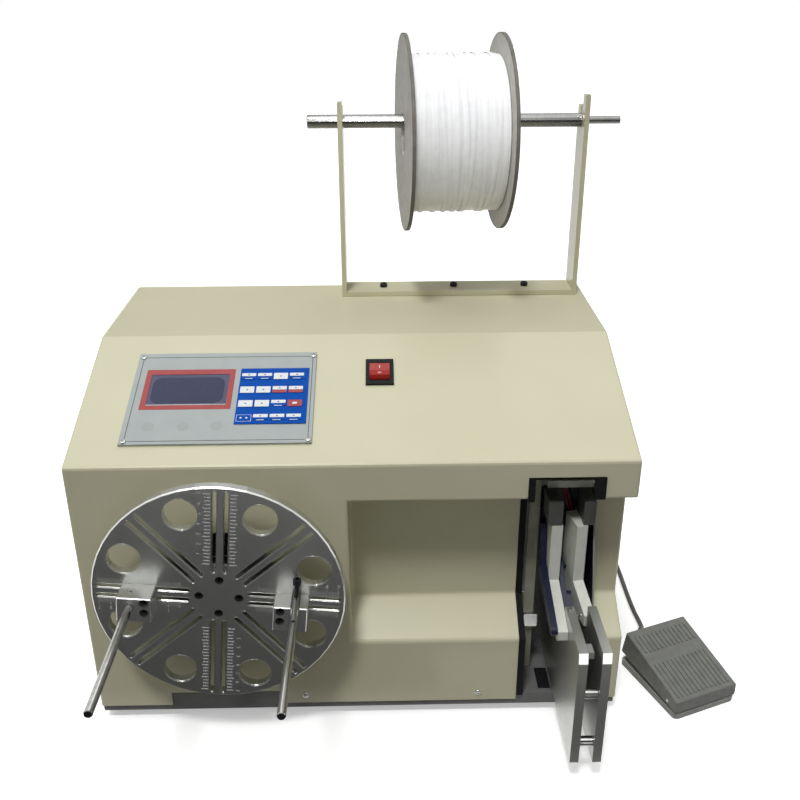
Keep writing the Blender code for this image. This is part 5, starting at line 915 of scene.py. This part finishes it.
def key_caps():
    """Printed tops of the keys: white, half white, white over red, and red, with small marks."""
    tops = {"white": bmesh.new(), "print_red": bmesh.new(), "print_grey": bmesh.new()}
    for row, pattern in enumerate(KEY_PATTERN):
        for column, kind in enumerate(pattern):
            x = KEY_FIRST[0] + column * KEY_STEP[0]
            u = KEY_FIRST[1] - row * KEY_STEP[1]
            for look, low, high, inset, above in KEY_CAPS.get(kind, ()):
                half = KEY_HALF[0] - inset
                prism(tops[look], oblong((x - half, u + low), (x + half, u + high), KEY_CORNER, 2),
                      KEY_FACE + above, KEY_FACE + above + PRINT)
            if kind in KEY_MARKS:
                mark = [(x + a, u + KEY_MARKS[kind] + b) for a, b in KEY_MARK]
                prism(tops["print_grey"], mark, KEY_FACE + PRINT, KEY_FACE + 2 * PRINT)
    for look, bm in tops.items():
        settle(bm, "key_tops_" + look, look, "machine", SLOPE, smooth=False)
    x, u = KEY_FIRST[0], KEY_FIRST[1] - (len(KEY_PATTERN) - 1) * KEY_STEP[1]
    outer = (x - LIGHTS_HALF[0], u - LIGHTS_HALF[1]), (x + LIGHTS_HALF[0], u + LIGHTS_HALF[1])
    with new_piece("keypad_lights", "white", "machine", SLOPE) as bm:
        ring_between(bm, oblong(*outer, LIGHTS_CORNERS[0]),
                     oblong(*shrunk(*outer, LIGHTS_LINE), LIGHTS_CORNERS[1]), FILM_FACE, FILM_FACE + PRINT)
        for middle in (x - LIGHT_APART, x + LIGHT_APART):
            turned(bm, LIGHT_PROFILE, LIGHT_SIDES, lambda a, b, c: Vector((middle + a, u + b, FILM_FACE + c)))


def rocker_marks():
    """A bar and a ring on the two halves of the rocker key."""
    back = SLOPE.inverted()
    places = [back @ Vector(v.co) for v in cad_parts["rocker"].data.vertices]
    middle_x = sum(p.x for p in places) / len(places)
    pivot_u = sum(ROCKER_U) / 2
    inner = max((p for p in places if abs(p.y - pivot_u) < ROCKER_PIVOT_HALF), key=lambda p: p.z)
    for name, side in (("bar", 1), ("ring", -1)):
        outer = max((p for p in places if (p.y - pivot_u) * side > ROCKER_PIVOT_CLEAR), key=lambda p: p.z)
        middle = inner.lerp(outer, 0.5)
        middle.x = middle_x
        along = Vector((0, outer.y - inner.y, outer.z - inner.z)).normalized()
        across = Vector((1, 0, 0))
        out = across.cross(along)
        if out.z < 0:
            out = -out

        def lay(a, b, c):
            return middle + across * a + along * b + out * c
        with new_print("rocker_" + name, "white", "power_rocker") as bm:
            if name == "bar":
                x, u = ROCKER_BAR
                prism(bm, oblong((-x, -u), (x, u)), -PRINT, PRINT, lay)
            else:
                rings = [oblong((-half, -half), (half, half), corner, 5) for half, corner in ROCKER_RING]
                ring_between(bm, *rings, -PRINT, PRINT, lay)


# Tape on the spool

TAPE_EVEN = {"Points": 18 * 64, "Turns": 18.0, "Start": -0.0446, "Run": 0.0892, "Radius": 0.0785,
             "Wander": 0.005, "Waves": 40.0, "Seed": 3.0, "Strand": 0.0029, "Flat": 0.18}
TAPE_LOOSE = {"Points": 8 * 64, "Turns": 8.0, "Start": -0.037, "Run": 0.074, "Radius": 0.0796,
              "Wander": 0.056, "Waves": 9.0, "Seed": 11.0, "Strand": 0.0024, "Flat": 0.22}
STRAND_SIDES = 8
TAPE_CORE = [(0.0274, -0.0477), (0.077, -0.0477), (0.078, -0.0465), (0.078, 0.0465),
             (0.077, 0.0474), (0.0274, 0.0474)]    # radius and place along the shaft
FLANGE_RADIUS = 0.09855
FLANGE_OUTER = 0.0515
FLANGE_THICKNESS = 0.0035
FLANGE_RIM = 0.0008
FLANGE_SIDES = 96


def tape_tree():
    """A strand wound on a barrel along x: turns, a wander of the strand, and a flattened section."""
    tree, given, result = geometry_tree("wound_strand", {
        "Int": ["Points"],
        "Float": ["Turns", "Start", "Run", "Radius", "Wander", "Waves", "Seed", "Strand", "Flat"]})
    plus, less, times, over = (partial(maths, tree, name) for name in ("ADD", "SUBTRACT", "MULTIPLY", "DIVIDE"))
    radius = given["Radius"]
    line = joined(tree, "GeometryNodeMeshLine", {"Count": given["Points"]})
    index = joined(tree, "GeometryNodeInputIndex")[0]
    along = over(index, less(given["Points"], 1))
    turn = times(times(along, given["Turns"]), 2 * math.pi)
    noise = joined(tree, "ShaderNodeTexNoise", {
        "Vector": spot(tree, times(along, given["Waves"]), given["Seed"]), "Scale": 1, "Detail": 1})
    sway = times(less(noise["Fac"], 0.5), given["Wander"])
    x = plus(plus(given["Start"], times(along, given["Run"])), sway)
    y = times(maths(tree, "COSINE", turn), radius)
    z = times(maths(tree, "SINE", turn), radius)
    put = joined(tree, "GeometryNodeSetPosition", {
        "Geometry": line["Mesh"], "Position": spot(tree, x, y, z)})
    curve = joined(tree, "GeometryNodeMeshToCurve", {0: put[0]})
    section = joined(tree, "GeometryNodeCurvePrimitiveCircle", {
        "Resolution": STRAND_SIDES, "Radius": given["Strand"]})
    sweep = joined(tree, "GeometryNodeCurveToMesh", {
        "Curve": curve[0], "Profile Curve": section[0], "Fill Caps": True})
    x, y, z = joined(tree, "ShaderNodeSeparateXYZ", {0: joined(tree, "GeometryNodeInputPosition")[0]})
    reach = maths(tree, "SQRT", plus(times(y, y), times(z, z)))
    share = over(plus(radius, times(less(reach, radius), given["Flat"])), reach)
    press = joined(tree, "GeometryNodeSetPosition", {
        "Geometry": sweep[0], "Position": spot(tree, x, times(y, share), times(z, share))})
    return finished_tree(tree, given, result, press[0])


def wind_tape():
    """The tie tape: an even layer, loose turns that cross it, its core and the flanges' edges."""
    tree = tape_tree()
    layer = run_tree(bpy.data.meshes.new("start"), tree, TAPE_EVEN, "tape_layer", "tape", "spool", SPOOL)
    run_tree(bpy.data.meshes.new("start"), tree, TAPE_LOOSE, "tape_loose_turns", "tape", "spool", SPOOL)
    bm = bmesh.new()
    closed_ring(bm, [(circle(radius, FLANGE_SIDES), along) for radius, along in TAPE_CORE], out_side)
    core = settle(bm, "tape_core", "tape", "spool", SPOOL)
    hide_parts("tie_winding")
    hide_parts("wound_tape")
    for side, low in (("left", -FLANGE_OUTER), ("right", FLANGE_OUTER - FLANGE_THICKNESS)):
        with new_piece(side + "_flange_edge", "board_edge", "spool", SPOOL) as bm:
            ring_between(bm, circle(FLANGE_RADIUS, FLANGE_SIDES),
                         circle(FLANGE_RADIUS - FLANGE_RIM, FLANGE_SIDES),
                         low - PRINT, low + FLANGE_THICKNESS + PRINT, out_side)


# Tie head and clamps

# Each with its look, corners seen from the front (x and z), and its front and rear face
HEAD_PLATES = {
    "throat_block": ("cast", (0.1966, 0.127), (0.2045, 0.1335), -0.074, -0.062),
    "cheek_block": ("block", (0.1617, 0.0762), (0.1746, 0.0906), 0.036, 0.0417),
    "head_beam": ("nylon", (0.1765, 0.2315), (0.22, 0.2385), 0.0385, 0.0415),
    "left_strip": ("khaki", (0.161, 0.0232), (0.171, 0.2385), 0.0403, 0.0417),
    # Upper stems of the guides, coloured dark grey as painted shade on the nylon deep in the slot
    "left_bar": ("bar", (0.174, 0.2073), (0.1868, 0.2315), 0.012, 0.04),
    "right_bar": ("bar", (0.206, 0.2073), (0.2165, 0.2315), 0.012, 0.04),
    # A black sheet behind the guides' stems: painted shade of the dark gap in the slot
    "feed_shield": ("black", (0.1735, 0.19), (0.2125, 0.2314), 0.0422, 0.0432),
    # A black block at the slot's top right: painted shade of the dark hollow above the recess
    "right_trim": ("rubber", (0.2105, 0.2418), (0.2202, 0.2638), -0.0015, 0.003),
    "base_pad": ("black", (0.175, 0.0224), (0.187, 0.0228), 0.008, 0.037),
}
HEAD_PLATE_CORNER = 0.0006
NOTCH_BACK = ((-0.186, 0.0226), (-0.069, 0.0345))
NOTCH_DEPTHS = (-0.0028, -0.0018)


def doubled(line, by):
    """A strip from a line to its copy, moved into the depth."""
    return line + [(y + by, z) for y, z in reversed(line)]


# Front edges as depth and height of their ends: of the right cheek, and of the plates' front corner
CHEEK_FRONT = [(0.0016, 0.125), (0.037, 0.2354)]
NOSE = [(-0.08815, 0.1331), (-0.08615, 0.1431)]
# Each with its look, corners seen from the side, and its left and right face
SIDE_PLATES = {
    # The right cheek's face is black as painted shade of the dark slot, and the grey strip along its front is a
    # painted highlight of that lit edge
    "right_cheek": ("black", [(0.0412, 0.125), *CHEEK_FRONT, (0.0412, 0.2354)], 0.2186, 0.22),
    "right_cheek_edge": ("cast", doubled(CHEEK_FRONT, -0.0008), 0.2186, 0.22),
    "left_nose_face": ("polished", doubled(NOSE, 0.0003), 0.1881, 0.1961),
    "right_nose_face": ("polished", doubled(NOSE, 0.0003), 0.2083, 0.2163),
}
CLIP_RODS = (((0.1952, -0.031, 0.138), (0.199, -0.031, 0.1396), 0.0011),
             ((0.1988, -0.0308, 0.1394), (0.1996, -0.0355, 0.1442), 0.001))
PLATE_TOP_SCREW = (0.1918, -0.0275, 0.1432)
CHEEK_SCREW = (0.1607, 0.042, 0.1118)
WIRES = {"red": [(0.19, 0.1985), (0.193, 0.2015)], "black": [(0.1965, 0.204)]}   # x at top and bottom
WIRE_TOP = 0.232
WIRE_DROP = 0.026
WIRE_DEPTH = 0.0408
WIRE_BEND = 0.003
WIRE_RADIUS = 0.0006
WIRE_STEPS = 12
WIRE_FINENESS = 2
GRUB_SCREW = (-0.0728, -0.044, 0.009)
POST_ENDS = {"left": (-0.0728, 0.0), "right": (0.0678, 0.0078)}
POST_SIDES = 24
POST_END = [(0, 0.1779), (0.0026, 0.1779), (0.003, 0.1783), (0.003, 0.1788), (0, 0.1788)]


def head_wires():
    """Thin wires that hang down behind the throat, each with a slight bow."""
    shares = [k / WIRE_STEPS for k in range(WIRE_STEPS + 1)]
    for look, runs in WIRES.items():
        for number, (top_x, low_x) in enumerate(runs):
            points = [(top_x + (low_x - top_x) * share, WIRE_DEPTH - WIRE_BEND * math.sin(math.pi * share),
                       WIRE_TOP - WIRE_DROP * share) for share in shares]
            mesh = plain_mesh(round_wire("wire", points, WIRE_RADIUS, WIRE_FINENESS), MACHINE)
            take_on(mesh, f"head_wire_{look}_{number}", look, "machine")


def tie_head_details():
    """Small parts of the tie head that show in the slot, with black pieces that paint the slot's shade."""
    for name, (look, low, high, near, far) in HEAD_PLATES.items():
        with new_piece(name, look) as bm:
            prism(bm, oblong(low, high, HEAD_PLATE_CORNER, 2), -far, -near, out_front)
    for name, (look, outline, left, right) in SIDE_PLATES.items():
        with new_piece(name, look) as bm:
            prism(bm, outline, left, right, out_side)
    with new_piece("notch_back", "base") as bm:
        prism(bm, oblong(*NOTCH_BACK), *NOTCH_DEPTHS, out_front)
    with new_piece("throat_clip", "edge") as bm:
        for rod in CLIP_RODS:
            rod_along(bm, *rod)
    set_out("plate_top_screw", [(PLATE_TOP_SCREW, UPWARD)])
    set_out("cheek_screw", [(CHEEK_SCREW, FORWARD)])
    head_wires()


def clamp_details():
    """Grub screw on the left block and the dark ends of the posts."""
    set_out("left_grub_screw", [(GRUB_SCREW, UPWARD)], "left_clamp", DISC)
    for side, (x, z) in POST_ENDS.items():
        with new_piece(side + "_post_end", "black", side + "_clamp", DISC) as bm:
            turned(bm, POST_END, POST_SIDES, lambda a, b, c: Vector((x + a, -c, z + b)))


body_screws()
disc_screws()
disc_scale()
disc_edges()
control_prints()
key_caps()
rocker_marks()
wind_tape()
tie_head_details()
clamp_details()
for shape in (SOCKET_HEAD, CROSS_HEAD):
    bpy.data.objects.remove(shape)


# Studio

LAMPS = {   # direction that each comes from, how far it spreads in degrees, and its strength
    "lamp_key": ((-0.16, -0.41, 1.0), 9, 1.3),
    "lamp_above": ((-0.1, 0.16, 1.0), 80, 1.35),
    "lamp_left": ((-1.0, -0.7, 0.7), 60, 0.1),
}
SPOOL_LAMP = (0.02, -0.46, 0.98)
SPOOL_LAMP_SET = {"energy": 12, "spot_size": math.radians(19), "spot_blend": 0.5, "shadow_soft_size": 0.06}
ROOM_FILL = 0.14
FLOOR_REACH = 8
FLOOR_DEPTHS = (-0.02, -0.0002)
FLOOR_GLOW = 0.4
FLOOR_SEEN = 0.96
FLOOR_LENT = (0.22, 0.22, 0.21)     # colour of the light that it lends to the machine
DULL = 0.9
CARD_THICKNESS = 0.001
CARDS = {   # corners, how it lies, how far up or out to the front its face is, and its tone
    "disc_card": ((-1.1, -0.85), (0.08, -0.034), up_z, CARD_THICKNESS, 0.05),
    "head_card": ((0.08, -0.44), (0.9, -0.1), up_z, CARD_THICKNESS, 0.08),
    "front_card": ((-1.2, 0.0), (1.2, 1.0), out_front, 1.15, 0.08),
    "rear_card": ((-1.8, 0.45), (1.8, 1.75), out_front, -2.2, 0.3),
}


def seen_directly(tree):
    """One for rays from the camera and for those that a gloss or glass sends on."""
    ray = joined(tree, "ShaderNodeLightPath")
    seen_or_mirrored = maths(tree, "MAXIMUM", ray["Is Camera Ray"], ray["Is Glossy Ray"])
    return maths(tree, "MAXIMUM", seen_or_mirrored, ray["Is Transmission Ray"])


def studio_sheet(name, corners, low, high, lay=up_z):
    """A dull sheet of the studio, and its material's tree and shader."""
    bm = bmesh.new()
    prism(bm, oblong(*corners), low, high, lay)
    mesh = mesh_of(bm, name)
    material = bpy.data.materials.new(name)
    material.use_nodes = True
    shader = material.node_tree.nodes["Principled BSDF"]
    shader.inputs["Roughness"].default_value = DULL
    mesh.materials.append(material)
    return put_in(name, mesh), material.node_tree, shader


def floor_sheet():
    """Pale floor that keeps the shadow and shows white around it."""
    floor, tree, shader = studio_sheet(
        "floor", ((-FLOOR_REACH, -FLOOR_REACH), (FLOOR_REACH, FLOOR_REACH)), *FLOOR_DEPTHS)
    feed(tree, shader, {"Specular IOR Level": 0.0, "Emission Strength": 1})
    seen = seen_directly(tree)
    for socket, lent, shown in (("Base Color", (*FLOOR_LENT, 1), (FLOOR_SEEN,) * 3 + (1,)),
                                ("Emission Color", (0, 0, 0, 1), (FLOOR_GLOW,) * 3 + (1,))):
        mix = joined(tree, "ShaderNodeMix", {0: seen, 6: lent, 7: shown}, data_type="RGBA")
        feed(tree, shader, {socket: mix[2]})


def white_room():
    """White to the camera and in mirrors, and a dim even light on the machine."""
    world = bpy.data.worlds.new("room")
    bpy.context.scene.world = world
    world.use_nodes = True
    tree = world.node_tree
    strength = joined(tree, "ShaderNodeMapRange", {
        "Value": seen_directly(tree), "To Min": ROOM_FILL, "To Max": 1.0})
    feed(tree, tree.nodes["Background"], {"Color": (1, 1, 1, 1), "Strength": strength[0]})


def hang_lamps():
    """Three wide lamps, and a narrow one on the spool alone."""
    for name, (place, spread, strength) in LAMPS.items():
        data = bpy.data.lights.new(name, "SUN")
        data.angle = math.radians(spread)
        data.energy = strength
        put_in(name, data).matrix_world = Vector(place).to_track_quat("Z", "Y").to_matrix().to_4x4()
    data = bpy.data.lights.new("lamp_spool", "SPOT")
    for key, value in SPOOL_LAMP_SET.items():
        setattr(data, key, value)
    place = HOME + Vector(SPOOL_LAMP)
    way = place - (HOME + Vector(SPOOL_PLACE))
    put_in("lamp_spool", data).matrix_world = (
        Matrix.Translation(place) @ way.to_track_quat("Z", "Y").to_matrix().to_4x4())


def hang_cards():
    """Grey cards round the machine that only the polished faces mirror."""
    for name, (low, high, lay, face, tone) in CARDS.items():
        card, tree, shader = studio_sheet(name, (low, high), face - CARD_THICKNESS, face, lay)
        card.data.transform(MACHINE)
        feed(tree, shader, {"Base Color": (tone, tone, tone, 1)})
        for ray in ("camera", "diffuse", "shadow", "transmission"):
            setattr(card, "visible_" + ray, False)


bpy.context.scene.view_settings.view_transform = "Standard"
floor_sheet()
white_room()
hang_lamps()
hang_cards()
